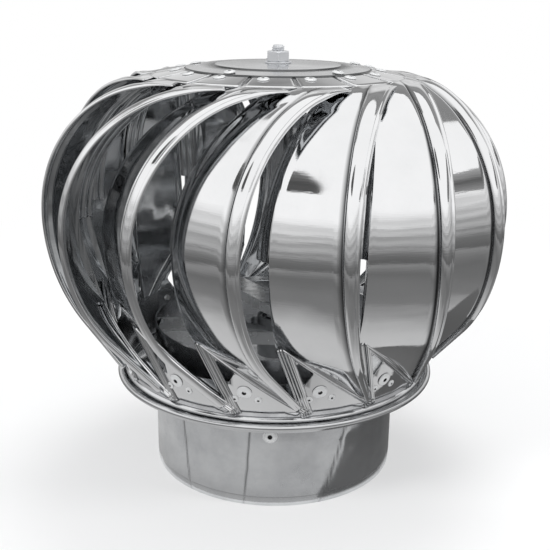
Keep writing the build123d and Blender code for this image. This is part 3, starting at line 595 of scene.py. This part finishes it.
def make_blade():
    """The ribbed strip, trimmed at the skirt's cone and the crown and flattened at its tip."""
    shape, mark = sheet_grid(COLUMNS, ROWS)
    ends = {}
    for vertex in shape.verts:
        share = (vertex.co.x + 1) / 2
        column = round(share * COLUMNS)
        if column not in ends:
            ends[column] = (column_end(share, path_foot, cone_radius),
                            column_end(share, path_tip, crown_wall))
        foot, tip = ends[column]
        point, crease = blade_point(foot + (tip - foot) * (vertex.co.y + 1) / 2, share)
        if point.z > EQUATOR:
            radius = point.xy.length
            outer = CROWN_RADIUS + CROWN_GAP + FLATTENED_FROM
            near = clamp((outer - radius) / FLATTENED_OVER)
            rise = clamp(lap_height(radius) - point.z, -FLATTENED_DROP, FLATTENED_RISE)
            point.z += rise * near * near * (3 - 2 * near)
        vertex.co = point
        vertex[mark] = crease
    return facing(shape, direction(0))


def wrap_on_cone(point, lift):
    """Moves a flat (x, z) point onto the skirt's cone, seen from the front."""
    radius = cone_radius(point.z)
    reach = asin(clamp(point.x / radius, -0.99, 0.99))
    outer = radius + lift
    return Vector((outer * sin(reach), -outer * cos(reach), point.z))


# The foot tab and its rounded three-sided hole as flat (x, z) points, before they are wrapped
FOOT_OUTLINE = [(-15.5, 88.2), (34.3, 88.2), (38.0, 92.5), (-33.5, 149.5), (-39.0, 148.0)]
HOLE_OUTLINE = [(-25.0, 134.5), (-22.5, 135.5), (-12.0, 127.5), (-11.5, 125.0),
                (-17.0, 115.5), (-19.5, 115.5)]


def make_foot():
    """The flared foot tab, cut into strips and wrapped on the cone with its slight dents."""
    shape = bmesh.new()
    shape.verts.layers.float.new("crease")
    edges = profile_chain(shape, FOOT_OUTLINE) + profile_chain(shape, HOLE_OUTLINE)
    bmesh.ops.triangle_fill(shape, edges=edges, use_beauty=True)
    cuts = [((x, 0, 0), (1, 0, 0)) for x in range(-36, 38, 4)]
    cuts += [((0, 0, z), (0, 0, 1)) for z in range(94, 148, 6)]
    for place, normal in cuts:
        everything = list(shape.verts) + list(shape.edges) + list(shape.faces)
        bmesh.ops.bisect_plane(shape, geom=everything, plane_co=place, plane_no=normal)
    for vertex in shape.verts:
        dent = 0.35 * noise.noise(Vector((vertex.co.x / 14, vertex.co.z / 14, 5.0)))
        vertex.co = wrap_on_cone(vertex.co, dent)
    return facing(shape, direction(0))


FLUTED_LIFT = 0.2


def fluted_strip(start, end, width_start, width_end, height, flutes):
    """A fluted strip on the cone between two (x, z) points: the creased seam or its leg."""
    shape, mark = sheet_grid(18, 26)
    origin = Vector((start[0], 0, start[1]))
    run = Vector((end[0], 0, end[1])) - origin
    side = Vector((run.z, 0, -run.x)).normalized()
    for vertex in shape.verts:
        part = (vertex.co.y + 1) / 2
        over = vertex.co.x
        width = width_start + (width_end - width_start) * part
        swing = cos(pi * flutes * over)
        crown = (1 - over ** 4) * 0.55 + 0.45 * (0.5 + 0.5 * swing) * (1 - over ** 6)
        # painted shade in the troughs of the flutes
        vertex[mark] = 0.7 * max(0.0, -swing) ** 4
        flat = origin + run * part + side * over * width / 2
        vertex.co = wrap_on_cone(flat, FLUTED_LIFT + height * crown)
    return facing(shape, direction(0))


LAP_INNER = 73.0           # radius at which the blade's lap ends on the crown
LAP_FROM, LAP_SPREAD = 17.0, 22.0


def crown_lap():
    """The blade's lap over the crown ring: a thin curved tab."""
    shape, _ = sheet_grid(14, 6)
    for vertex in shape.verts:
        angle = LAP_FROM + LAP_SPREAD * (vertex.co.x + 1) / 2
        radius = LAP_INNER + (CROWN_RADIUS + CROWN_GAP - LAP_INNER) * (vertex.co.y + 1) / 2
        vertex.co = direction(angle) * radius + up(lap_height(radius))
    return facing(shape, up(1))


blade_sheet = joined([
    make_blade(),
    make_foot(),
    fluted_strip((-34.0, 150.0), (40.0, 92.0), 10.0, 8.0, 2.2, 4),
    fluted_strip((-35.5, 149.0), (-11.5, 88.6), 10.0, 9.0, 1.6, 5),
    crown_lap(),
])
for index in range(BLADE_COUNT):
    shape = blade_sheet.copy()
    placed = Matrix.Rotation(radians(BLADE_START + index * PITCH), 4, "Z")
    bmesh.ops.transform(shape, matrix=placed, verts=shape.verts)
    number = f"{index + 1:02d}"
    piece = finished(shape, f"ribbed_blade_{number}", blade_steel, "rotor",
                     [f"blade_{number}"], 50)
    wall = piece.modifiers.new("sheet_thickness", "SOLIDIFY")
    wall.thickness = SHEET * MM
    wall.offset = -1.0
    piece.data.materials.append(inner_steel)
    wall.material_offset = 1
blade_sheet.free()


# Collar, flange and skirt

# From the turned-in lip up the hem and the wall to the swelled top, and down inside
collar_inner = COLLAR_RADIUS - SHEET
collar_outline = [
    (collar_inner - 1.7, 0.4), (collar_inner - 1.2, 0.0), (98.4, 0.0), (99.0, 0.6),
    (99.5, 2.0), (99.6, 3.4), (99.7, 7.4), (99.8, 7.9),
    *[(COLLAR_RADIUS, height) for height in (8.6, 16.0, 24.0, 32.0, 41.0, 49.5)],
    (100.15, 51.5), (100.35, 55.0), (JOINT_RADIUS, 57.0), (JOINT_RADIUS, 66.0),
    (JOINT_RADIUS, 74.7), (100.1, COLLAR_TOP), (99.6, 74.7), (99.6, 57.0),
    (collar_inner, 49.5), (collar_inner, 8.6), (98.8, 7.3), (98.8, 3.0),
]
# Creases pressed into the collar wall: angle at its top, angle at its foot
COLLAR_CREASES = ((-46.0, -41.0), (-10.0, -13.5), (36.0, 21.0))
HEM_LINE = 7.9
collar = turned(collar_outline, 600)
collar_mark = collar.verts.layers.float.new("crease")
for vertex in collar.verts:
    angle = atan2(vertex.co.x, -vertex.co.y)
    height = vertex.co.z
    dent = noise.noise(Vector((angle * 3.4, height / 70, 1.7))) * 0.25
    dent += noise.noise(Vector((angle * 11.0, height / 34, 4.2))) * 0.10
    # painted shade: a dark line along the hem's step and along each pressed crease
    shade_mask = 0.55 * exp(-((height - HEM_LINE) / 0.5) ** 2)
    for top, foot in COLLAR_CREASES:
        share = clamp(height / COLLAR_TOP)
        centre = radians(foot + (top - foot) * share ** 0.8)
        centre += 0.006 * noise.noise(Vector((top, height / 9, 0)))
        away = (angle - centre) * COLLAR_RADIUS
        dent += 0.10 * exp(-((away - 4.0) / 3.0) ** 2) - 0.22 * exp(-(away / 1.6) ** 2)
        shade_mask = max(shade_mask, 0.9 * exp(-(away / 0.8) ** 2) * min(1.0, (height + 8) / 25))
    vertex[collar_mark] = shade_mask
    fade = clamp((72 - height) / 12) * clamp(height / 8)
    outward = Vector((vertex.co.x, vertex.co.y, 0)).normalized()
    vertex.co += outward * (dent - 0.12) * fade
finished(collar, "collar_shell", collar_steel, "base", ["flue_collar"])

# The pan round the neck: its floor, its rolled bead and its upright lap
neck_radius = JOINT_RADIUS - SHEET - LAP_GAP
flange_inner = neck_radius + LAP_GAP
lap_radius = flange_inner + SHEET
pan_outline = [
    (flange_inner, 75.0), (124.0, 75.0), (127.0, 79.0),
    *arc((129.1, 81.5), 2.5, 225, 500, 20),
    (126.3, 79.4), (123.6, 75.8), (flange_inner + 2.5, 75.8), (flange_inner + 1.2, 76.4),
    (lap_radius, 77.4), (lap_radius, 86.8), (flange_inner, 87.0),
]
finished(turned(pan_outline, 220), "flange_pan", spun_steel, "base", ["flange_ring"], 40)

# The flared ring under the blades: its rolled bead and its cone
skirt_heights = (87.4, 100.0, SKIRT_TOP)
skirt_outline = [
    *arc((123.1, 84.4), 2.4, 100, 400, 22),
    *[(skirt_radius(height), height) for height in skirt_heights],
    *[(skirt_radius(height) - SHEET, height) for height in reversed(skirt_heights)],
]
finished(turned(skirt_outline, 220), "skirt_band", spun_steel, "rotor", ["rotor_skirt"],
         40)


# Crown and cap
CAP_SHADOW = 73.5          # painted shadow on the crown out to here, just past the cap's edge
crown_outline = [
    (CROWN_MOUTH, crown_height(CROWN_MOUTH) - DISC),
    *[(radius, crown_height(radius)) for radius in (CROWN_MOUTH, 71.0, 73.2, 74.2, 80.0, 97.2)],
    (98.2, CROWN_EDGE - 0.5), (CROWN_RADIUS, CROWN_EDGE - 1.4), (CROWN_RADIUS, CROWN_EDGE - 3.0),
    (97.3, CROWN_EDGE - 3.0), (97.3, CROWN_EDGE - DISC), (80.0, crown_height(80.0) - DISC),
]
# painted shadow of the cap's edge on the crown
crown = shade_band(turned(crown_outline), 70.0, CAP_SHADOW, CROWN_EDGE, CROWN_EDGE + 20)
finished(crown, "crown_dish", spun_steel, "rotor", ["crown_ring"], 40)

# The cap: a flat middle round the axle, a pressed step and a rim that lies on the crown
cap_centre = crown_height(CROWN_MOUTH) + 1.4
cap_top = cap_centre + DISC
mouth_height = crown_height(CROWN_MOUTH)
rim_height = crown_height(CAP_RADIUS)
cap_outline = [
    (AXLE_BORE, cap_centre), (18.0, cap_centre), (40.0, cap_centre - 0.72),
    (50.2, cap_centre - 1.4), (CROWN_MOUTH, mouth_height + 0.02),
    (CAP_RADIUS, rim_height + 0.02), (CAP_RADIUS + 0.4, rim_height + 0.5),
    (CAP_RADIUS, rim_height + 1.22), (71.4, crown_height(71.4) + 1.12),
    (CROWN_MOUTH, mouth_height + 0.85), (51.8, cap_centre - 0.55), (50.2, cap_centre - 0.6),
    (49.4, cap_centre + 0.3), (48.6, cap_centre + 0.42), (40.0, cap_centre + 0.5),
    (18.0, cap_top), (AXLE_BORE, cap_top),
]
# painted shade along the cap's rim and along its pressed step
cap = shade_band(turned(cap_outline, 160), 71.9, 73.0, CROWN_EDGE, rim_height + 1.3)
cap = shade_band(cap, 49.3, 51.9, cap_centre - 0.7, cap_centre + 0.35)
finished(cap, "cap_plate", spun_steel, "rotor", ["cap_disc"], 40)


# Rivets

# Where the rows of rivets stand: heights or radii, and turns from the angle of their blade
FOOT_ROW, FOOT_TURN = 110.0, -2.1
SMALL_ROW, SMALL_TURNS = 103.5, (-5.4, 2.3)
CROWN_ROW = 80.0
CAP_ROW, CAP_RIVET_LIFT = 67.0, 1.26
COLLAR_ROW, COLLAR_START = 61.0, -1.5
FLANGE_ROW = 82.2
BRIDGE_ROW, BRIDGE_HALF = 97.2, 9.0
WASHER_HEIGHT = 1.0


def riveted(outline, seats, name, body, node, steps=28):
    """A node's rivets or washers as one finished piece."""
    return finished(fasteners(outline, seats, steps), name, rivet_metal, body,
                    [node])


broad = blind_rivet(5.6, 1.4, 2.4, 2.8, hole=1.5, brim=0.5)
medium = blind_rivet(4.4, 1.4, 2.4, 3.2)
collar_rivet = blind_rivet(4.4, 1.4, 2.4, 3.6, hole=1.7, brim=0.4)
small = blind_rivet(2.9, 1.0, 1.6, 3.0, hole=0.8, brim=0.25)
small_flush = blind_rivet(2.9, 1.0, 1.6, 0.0, hole=0.8, brim=0.25)
washer = [(2.42, 0.0), (2.42, 0.8), (3.2, WASHER_HEIGHT), (5.3, WASHER_HEIGHT), (5.6, 0.7),
          (5.6, 0.0), (2.42, 0.0)]

blade_angles = [BLADE_START + i * PITCH for i in range(BLADE_COUNT)]
foot_wall = (LAP_GAP + SHEET) * cos(atan2(SKIRT_FLARE, 1)) + HEAD_GAP
riveted(broad, [skirt_seat(a + FOOT_TURN, FOOT_ROW, foot_wall) for a in blade_angles],
        "foot_blind_rivets", "rotor", "foot_rivets", 32)
small_angles = [a + b for a in blade_angles for b in SMALL_TURNS]
riveted(small_flush, [skirt_seat(a, SMALL_ROW, foot_wall) for a in small_angles],
        "small_foot_blind_rivets", "rotor", "small_foot_rivets", 20)
crown_lift = LAP_GAP + SHEET + HEAD_GAP
riveted(medium, [crown_seat(CROWN_ROW, a + PITCH, crown_lift) for a in blade_angles],
        "crown_blind_rivets", "rotor", "crown_rivets")
riveted(medium, [crown_seat(CAP_ROW, BLADE_START + i * 72, CAP_RIVET_LIFT) for i in range(5)],
        "cap_blind_rivets", "rotor", "cap_rivets")
collar_angles = [COLLAR_START + i * 90 for i in range(4)]
riveted(washer, [round_seat(JOINT_RADIUS + HEAD_GAP, a, COLLAR_ROW) for a in collar_angles],
        "collar_rivet_washers", "base", "collar_washers", 36)
on_washer = JOINT_RADIUS + WASHER_HEIGHT + 2 * HEAD_GAP
riveted(collar_rivet, [round_seat(on_washer, a, COLLAR_ROW) for a in collar_angles],
        "collar_blind_rivets", "base", "collar_rivets", 32)
on_lap = lap_radius + HEAD_GAP
riveted(small, [round_seat(on_lap, PITCH + i * 45, FLANGE_ROW) for i in range(8)],
        "flange_blind_rivets", "base", "flange_rivets", 20)
spread = degrees(asin(BRIDGE_HALF / neck_radius))
bridge_angles = [a + b for a in (-90, 90) for b in (-spread, spread)]
riveted(medium, [round_seat(neck_radius + HEAD_GAP, a, BRIDGE_ROW) for a in bridge_angles],
        "bridge_blind_rivets", "base", "bridge_rivets")


# Axle and nuts
NUT_HEIGHT = 8.0
NUT_FLATS = 16.6
NUT_FACE = 0.97            # part of the half width that is left flat on top
NUT_SLANT = 1.7
NUT_CORNER = 1.2


def bmesh_kind(geometry, kind):
    """The vertices or the edges among an operator's results."""
    return [item for item in geometry if isinstance(item, kind)]


def hex_nut(foot):
    """A hexagon nut with its corners turned off at a slant, above and below."""
    shape = bmesh.new()
    ring = bmesh.ops.create_circle(shape, segments=72, radius=1.0)["verts"]
    levels = [0.0, 0.5, 1.0, 1.6, NUT_HEIGHT - 1.6, NUT_HEIGHT - 1.0, NUT_HEIGHT - 0.5, NUT_HEIGHT]
    half = NUT_FLATS / 2
    rows = [ring]
    edges = list(shape.edges)
    for _ in levels[1:]:
        grown = bmesh.ops.extrude_edge_only(shape, edges=edges)["geom"]
        rows.append(bmesh_kind(grown, bmesh.types.BMVert))
        edges = [edge for edge in bmesh_kind(grown, bmesh.types.BMEdge)
                 if all(vertex in rows[-1] for vertex in edge.verts)]
    for level, row in zip(levels, rows):
        slant = half * NUT_FACE + min(level, NUT_HEIGHT - level) * NUT_SLANT
        for vertex in row:
            angle = atan2(vertex.co.y, vertex.co.x)
            flat = half / cos((angle + pi / 6) % (pi / 3) - pi / 6)
            reach = min(flat, half * NUT_CORNER, slant)
            vertex.co = Vector((reach * cos(angle), reach * sin(angle), foot + level))
    for row, level in ((rows[0], 0.0), (rows[-1], NUT_HEIGHT)):
        rim = [edge for edge in shape.edges
               if edge.is_boundary and all(vertex in row for vertex in edge.verts)]
        inner = bmesh.ops.extrude_edge_only(shape, edges=rim)["geom"]
        for vertex in bmesh_kind(inner, bmesh.types.BMVert):
            angle = atan2(vertex.co.y, vertex.co.x)
            vertex.co = Vector((AXLE_BORE * cos(angle), AXLE_BORE * sin(angle), foot + level))
    rims = [edge for edge in shape.edges if edge.is_boundary]
    bmesh.ops.bridge_loops(shape, edges=rims)
    bmesh.ops.recalc_face_normals(shape, faces=shape.faces)
    return shape


CROSSBAR_TOP = 136.0
AXLE_SHOULDER = 91.0
washer_top = cap_top + DISC
nuts = {
    "top_nut": (washer_top, "axle_top_nut"),
    "cap_lock_nut": (cap_centre - NUT_HEIGHT, "cap_under_nut"),
    "crossbar_nut": (CROSSBAR_TOP, "crossbar_hex_nut"),
    "axle_foot_nut": (AXLE_SHOULDER - NUT_HEIGHT, "axle_bottom_nut"),
}
for node, (foot, name) in nuts.items():
    finished(hex_nut(foot), name, zinc_metal, "rotor", [node], 25)

washer_outline = [
    (AXLE_BORE, cap_top), (10.2, cap_top), (10.5, cap_top + 0.3), (10.5, washer_top - 0.3),
    (10.2, washer_top), (5.4, washer_top), (AXLE_BORE, washer_top - 0.3),
]
finished(turned(washer_outline, 64), "axle_top_washer", zinc_metal, "rotor", ["top_washer"])

AXLE_FOOT, AXLE_TOP = 81.0, 345.0
THREAD_FROM = 318.0
THREAD_PITCH = 1.5
THREAD_CORE = 4.15
THREAD_CREST = 4.92
THREAD_STEPS = 36          # steps in one turn of the thread


def threaded_rod(foot, top, thread_from):
    """The axle: a plain bar with a rolled thread on its upper end."""
    bar = turned([
        (SPINDLE, foot), (4.2, foot), (AXLE_RADIUS, foot + 0.8),
        (AXLE_RADIUS, thread_from - 0.8), (THREAD_CORE, thread_from),
        (THREAD_CORE, top - 0.9), (3.6, top), (SPINDLE, top),
    ], 48, closed=False)
    thread = bmesh.new()
    turns = int((top - thread_from - 1.2) / THREAD_PITCH)
    edges = profile_chain(thread, [
        (THREAD_CORE - 0.1, thread_from - THREAD_PITCH / 2), (THREAD_CREST, thread_from - 0.1),
        (THREAD_CREST, thread_from + 0.1), (THREAD_CORE - 0.1, thread_from + THREAD_PITCH / 2),
    ], closed=False)
    bmesh.ops.spin(thread, geom=edges + list(thread.verts), cent=(0, 0, 0), axis=(0, 0, 1),
                   dvec=(0, 0, THREAD_PITCH / THREAD_STEPS), angle=2 * pi * turns,
                   steps=THREAD_STEPS * turns, use_merge=False)
    bmesh.ops.remove_doubles(thread, verts=thread.verts, dist=1e-4)
    bmesh.ops.recalc_face_normals(thread, faces=thread.faces)
    return joined([thread, bar])


finished(threaded_rod(AXLE_FOOT, AXLE_TOP, THREAD_FROM), "axle_rod", zinc_metal, "rotor",
         ["axle"], 30)


# Materials and rolled edges of the parts that keep their solids' meshes
kept = {
    "neck_sleeve": spun_steel,
    "bearing_bridge": bar_metal,
    "rotor_crossbar": bar_metal,
    "bearing_housing": mill_metal,
    "housing_bolts": zinc_metal,
    "housing_nuts": zinc_metal,
    "crossbar_rivets": rivet_metal,
    "bearing_spacer": zinc_metal,
    "crossbar_spacer": zinc_metal,
}
for place in ("lower", "upper"):
    for part in ("inner_race", "outer_race", "bearing_balls"):
        kept[f"{place}_{part}"] = bearing_metal
for node, material in kept.items():
    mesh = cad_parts[node].data
    mesh.materials.clear()
    mesh.materials.append(material)
for node in ("bearing_bridge", "rotor_crossbar", "bearing_housing"):
    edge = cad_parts[node].modifiers.new("rolled_edges", "BEVEL")
    edge.width = 0.5 * MM
    edge.segments = 3
    edge.limit_method = "ANGLE"
    edge.angle_limit = radians(40)


# Studio and light
def stage_piece(shape, name, material):
    """Adds a floor or reflecting card that is not part of the cowl."""
    mesh = bpy.data.meshes.new(name)
    shape.to_mesh(mesh)
    shape.free()
    mesh.materials.append(material)
    piece = bpy.data.objects.new(name, mesh)
    bpy.context.scene.collection.objects.link(piece)
    return piece


def stage_material(name):
    """An empty material for the studio."""
    material = bpy.data.materials.new(name)
    material.use_nodes = True
    material.node_tree.nodes.clear()
    return material


# Pale floor that keeps the cowl's shadow near it and fades to plain white further out
floor_material = stage_material("pale_studio_floor")
tree = floor_material.node_tree
floor_shade = add(tree, "ShaderNodeBsdfDiffuse", {"Color": linear("F4F4F4")})
floor_white = add(tree, "ShaderNodeEmission", {"Color": (1, 1, 1, 1), "Strength": 1.0})
spot = add(tree, "ShaderNodeTexCoord").outputs["Object"]
far = add(tree, "ShaderNodeVectorMath", {"operation": "LENGTH"}, {0: spot})
fade = add(tree, "ShaderNodeMapRange", {"From Min": 0.15, "From Max": 0.9, "To Min": 0.35},
           {"Value": far.outputs["Value"]})
floor_mix = add(tree, "ShaderNodeMixShader", None,
                {0: fade.outputs[0], 1: floor_shade.outputs[0], 2: floor_white.outputs[0]})
add(tree, "ShaderNodeOutputMaterial", None, {"Surface": floor_mix.outputs[0]})
floor = bmesh.new()
bmesh.ops.create_circle(floor, cap_ends=True, segments=96, radius=9.0)
stage_piece(floor, "studio_floor", floor_material)


def shaded_cloth(name, along_axis, stops, ripple, ripple_size, squash=1.0):
    """Grey cloth shaded through (place in metres, grey) stops, with soft drifting bands."""
    material = stage_material(name)
    tree = material.node_tree
    place = add(tree, "ShaderNodeTexCoord").outputs["Object"]
    if along_axis == "radius":
        flat = add(tree, "ShaderNodeMapping", {"Scale": (1.0, 1.0, 0.0)}, {"Vector": place})
        run = add(tree, "ShaderNodeVectorMath", {"operation": "LENGTH"}, {0: flat.outputs[0]})
        run = run.outputs["Value"]
    else:
        run = add(tree, "ShaderNodeSeparateXYZ", None, {0: place}).outputs["Z"]
    squeeze = add(tree, "ShaderNodeMapping", {"Scale": (1.0, 1.0, squash)}, {"Vector": place})
    drift = add(tree, "ShaderNodeTexNoise",
                {"Scale": 1 / ripple_size, "Detail": 4.0, "Distortion": 0.6},
                {"Vector": squeeze.outputs[0]})
    swing = add(tree, "ShaderNodeMapRange", {"To Min": -ripple, "To Max": ripple},
                {"Value": drift.outputs["Fac"]})
    moved = add(tree, "ShaderNodeMath", {"operation": "ADD"}, {0: run, 1: swing.outputs[0]})
    first, last = stops[0][0], stops[-1][0]
    share = add(tree, "ShaderNodeMapRange", {"From Min": first, "From Max": last},
                {"Value": moved.outputs[0]})
    ramp = add(tree, "ShaderNodeValToRGB", None, {"Fac": share.outputs[0]})
    marks = ramp.color_ramp.elements
    for at, grey in stops[1:-1]:
        marks.new((at - first) / (last - first)).color = linear(grey)
    marks[0].color = linear(stops[0][1])
    marks[len(marks) - 1].color = linear(stops[-1][1])
    glow = add(tree, "ShaderNodeEmission", {"Strength": 1.0}, {"Color": ramp.outputs["Color"]})
    add(tree, "ShaderNodeOutputMaterial", None, {"Surface": glow.outputs[0]})
    return material


def reflecting_card(shape, name, cloth):
    """Adds a card that shows in the polished metal and nowhere else."""
    card = stage_piece(shape, name, cloth)
    card.visible_camera = False
    card.visible_diffuse = False
    card.visible_shadow = False
    card.visible_transmission = False


def round_card(name, cloth, inner, outer):
    """A card turned all round the cowl between two (radius, height) points in metres."""
    shape = bmesh.new()
    edges = profile_chain(shape, [inner, outer], closed=False)
    bmesh.ops.spin(shape, geom=edges + list(shape.verts), cent=(0, 0, 0), axis=(0, 0, 1),
                   dvec=(0, 0, 0), angle=2 * pi, steps=96, use_merge=True)
    reflecting_card(shape, name, cloth)


def sky_point(azimuth, height, distance=3.0):
    """Place seen from the ball at an azimuth and a height above the horizon, in degrees."""
    flat = direction(azimuth) * cos(radians(height))
    return (flat + up(sin(radians(height)))) * distance + up(0.2)


def oval_card(name, cloth, azimuth, height, width, tall, foot=1.0):
    """An oval card hung in the sky, in degrees; foot is how much of its lower half is kept."""
    shape = bmesh.new()
    bmesh.ops.create_circle(shape, cap_ends=True, cap_tris=True, segments=40, radius=1.0)
    for vertex in shape.verts:
        lift = vertex.co.y if vertex.co.y > 0 else vertex.co.y * foot
        vertex.co = sky_point(azimuth + vertex.co.x * width / 2, height + lift * tall / 2)
    reflecting_card(shape, name, cloth)


# Cards that give the mirrors the greys of a room: the floor round the cowl, its darker
# right side, the horizon, a hill to the left, a band behind and a band to the right
CARD_START = 0.1015        # just outside the collar, in metres
HORIZON = 3.6
round_card("floor_card", shaded_cloth(
    "dark_floor_cloth", "radius",
    [(0.10, "B4B4B4"), (0.15, "C8C8C8"), (0.23, "C0C0C0"), (0.27, "AAAAAA"), (0.34, "7C7C7C"),
     (0.55, "6C6C6C"), (0.80, "8C8C8C"), (0.86, "606060"), (1.15, "747474"), (1.60, "A0A0A0"),
     (1.75, "828282"), (2.40, "A8A8A8"), (3.60, "B4B4B4")],
    ripple=0.16, ripple_size=0.30), (CARD_START, 0.002), (HORIZON, 0.002))

shade = bmesh.new()
bmesh.ops.create_grid(shade, x_segments=24, y_segments=12, size=1)
for vertex in shade.verts:
    radius = CARD_START + 0.26 * (vertex.co.y + 1) / 2
    first_angle = 20 + min(60.0, (radius - 0.1) * 460)
    angle = first_angle + (130 - first_angle) * (vertex.co.x + 1) / 2
    vertex.co = direction(angle) * radius + up(0.003)
reflecting_card(shade, "side_floor_card", shaded_cloth(
    "side_floor_cloth", "radius", [(0.1, "6E6E6E"), (0.2, "5A5A5A"), (0.4, "6A6A6A")],
    ripple=0.03, ripple_size=0.1))

round_card("horizon_card", shaded_cloth(
    "horizon_cloth", "height",
    [(0.0, "B0B0B0"), (0.25, "9A9A9A"), (0.45, "CACACA"), (0.62, "B4B4B4"), (0.80, "E0E0E0"),
     (1.05, "D2D2D2"), (1.30, "F2F2F2"), (1.6, "FFFFFF"), (2.3, "FFFFFF")],
    ripple=0.22, ripple_size=0.9, squash=5.0), (HORIZON, 0.0), (HORIZON, 2.3))

oval_card("hill_card", shaded_cloth(
    "hill_cloth", "height",
    [(2.0, "484848"), (2.2, "565656"), (2.35, "4E4E4E"), (2.5, "6A6A6A"), (2.8, "808080")],
    ripple=0.06, ripple_size=0.5, squash=4.0), -50, 39, 40, 38, foot=0.05)

band = bmesh.new()
bmesh.ops.create_grid(band, x_segments=40, y_segments=10, size=1)
for vertex in band.verts:
    vertex.co = sky_point(180 + vertex.co.x * 62, 32 + vertex.co.y * 18)
reflecting_card(band, "rear_band_card", shaded_cloth(
    "rear_cloth", "height",
    [(0.85, "E4E4E4"), (1.30, "D4D4D4"), (1.55, "B4B4B4"), (1.7, "8A8A8A"), (2.0, "969696"),
     (2.5, "888888")],
    ripple=0.05, ripple_size=0.5, squash=4.0))

oval_card("right_band_card", shaded_cloth(
    "side_band_cloth", "height", [(1.0, "A0A0A0"), (1.35, "5E5E5E"), (1.7, "B0B0B0")],
    ripple=0.06, ripple_size=0.4, squash=3.0), 84, 23, 56, 12)

# White sky for the camera and the mirrors, a weaker fill for everything else
world = bpy.data.worlds.new("studio_world")
bpy.context.scene.world = world
world.use_nodes = True
tree = world.node_tree
tree.nodes.clear()
seen = add(tree, "ShaderNodeLightPath")
flat_white = add(tree, "ShaderNodeBackground", {"Color": (1, 1, 1, 1), "Strength": 1.0})
soft_fill = add(tree, "ShaderNodeBackground", {"Color": linear("EDEEF0"), "Strength": 0.75})
mirrored = add(tree, "ShaderNodeMath", {"operation": "MAXIMUM"},
               {0: seen.outputs["Is Camera Ray"], 1: seen.outputs["Is Glossy Ray"]})
plain = add(tree, "ShaderNodeMath", {"operation": "MAXIMUM"},
            {0: mirrored.outputs[0], 1: seen.outputs["Is Transmission Ray"]})
sky = add(tree, "ShaderNodeMixShader", None,
          {0: plain.outputs[0], 1: soft_fill.outputs[0], 2: flat_white.outputs[0]})
add(tree, "ShaderNodeOutputWorld", None, {"Surface": sky.outputs[0]})


def soft_lamp(name, place, size, power):
    """A large soft lamp aimed at the cowl and kept out of its mirrors."""
    data = bpy.data.lights.new(name, "AREA")
    data.shape = "DISK"
    data.size = size
    data.energy = power
    lamp = bpy.data.objects.new(name, data)
    lamp.location = place
    lamp.visible_glossy = False
    lamp.rotation_euler = (up(0.2) - Vector(place)).to_track_quat("-Z", "Y").to_euler()
    bpy.context.scene.collection.objects.link(lamp)


soft_lamp("key_lamp", (-1.4, -1.5, 2.0), 0.9, 26)
soft_lamp("side_lamp", (1.9, -0.6, 1.1), 0.7, 14)
soft_lamp("top_lamp", (0.2, 0.6, 2.2), 1.0, 18)
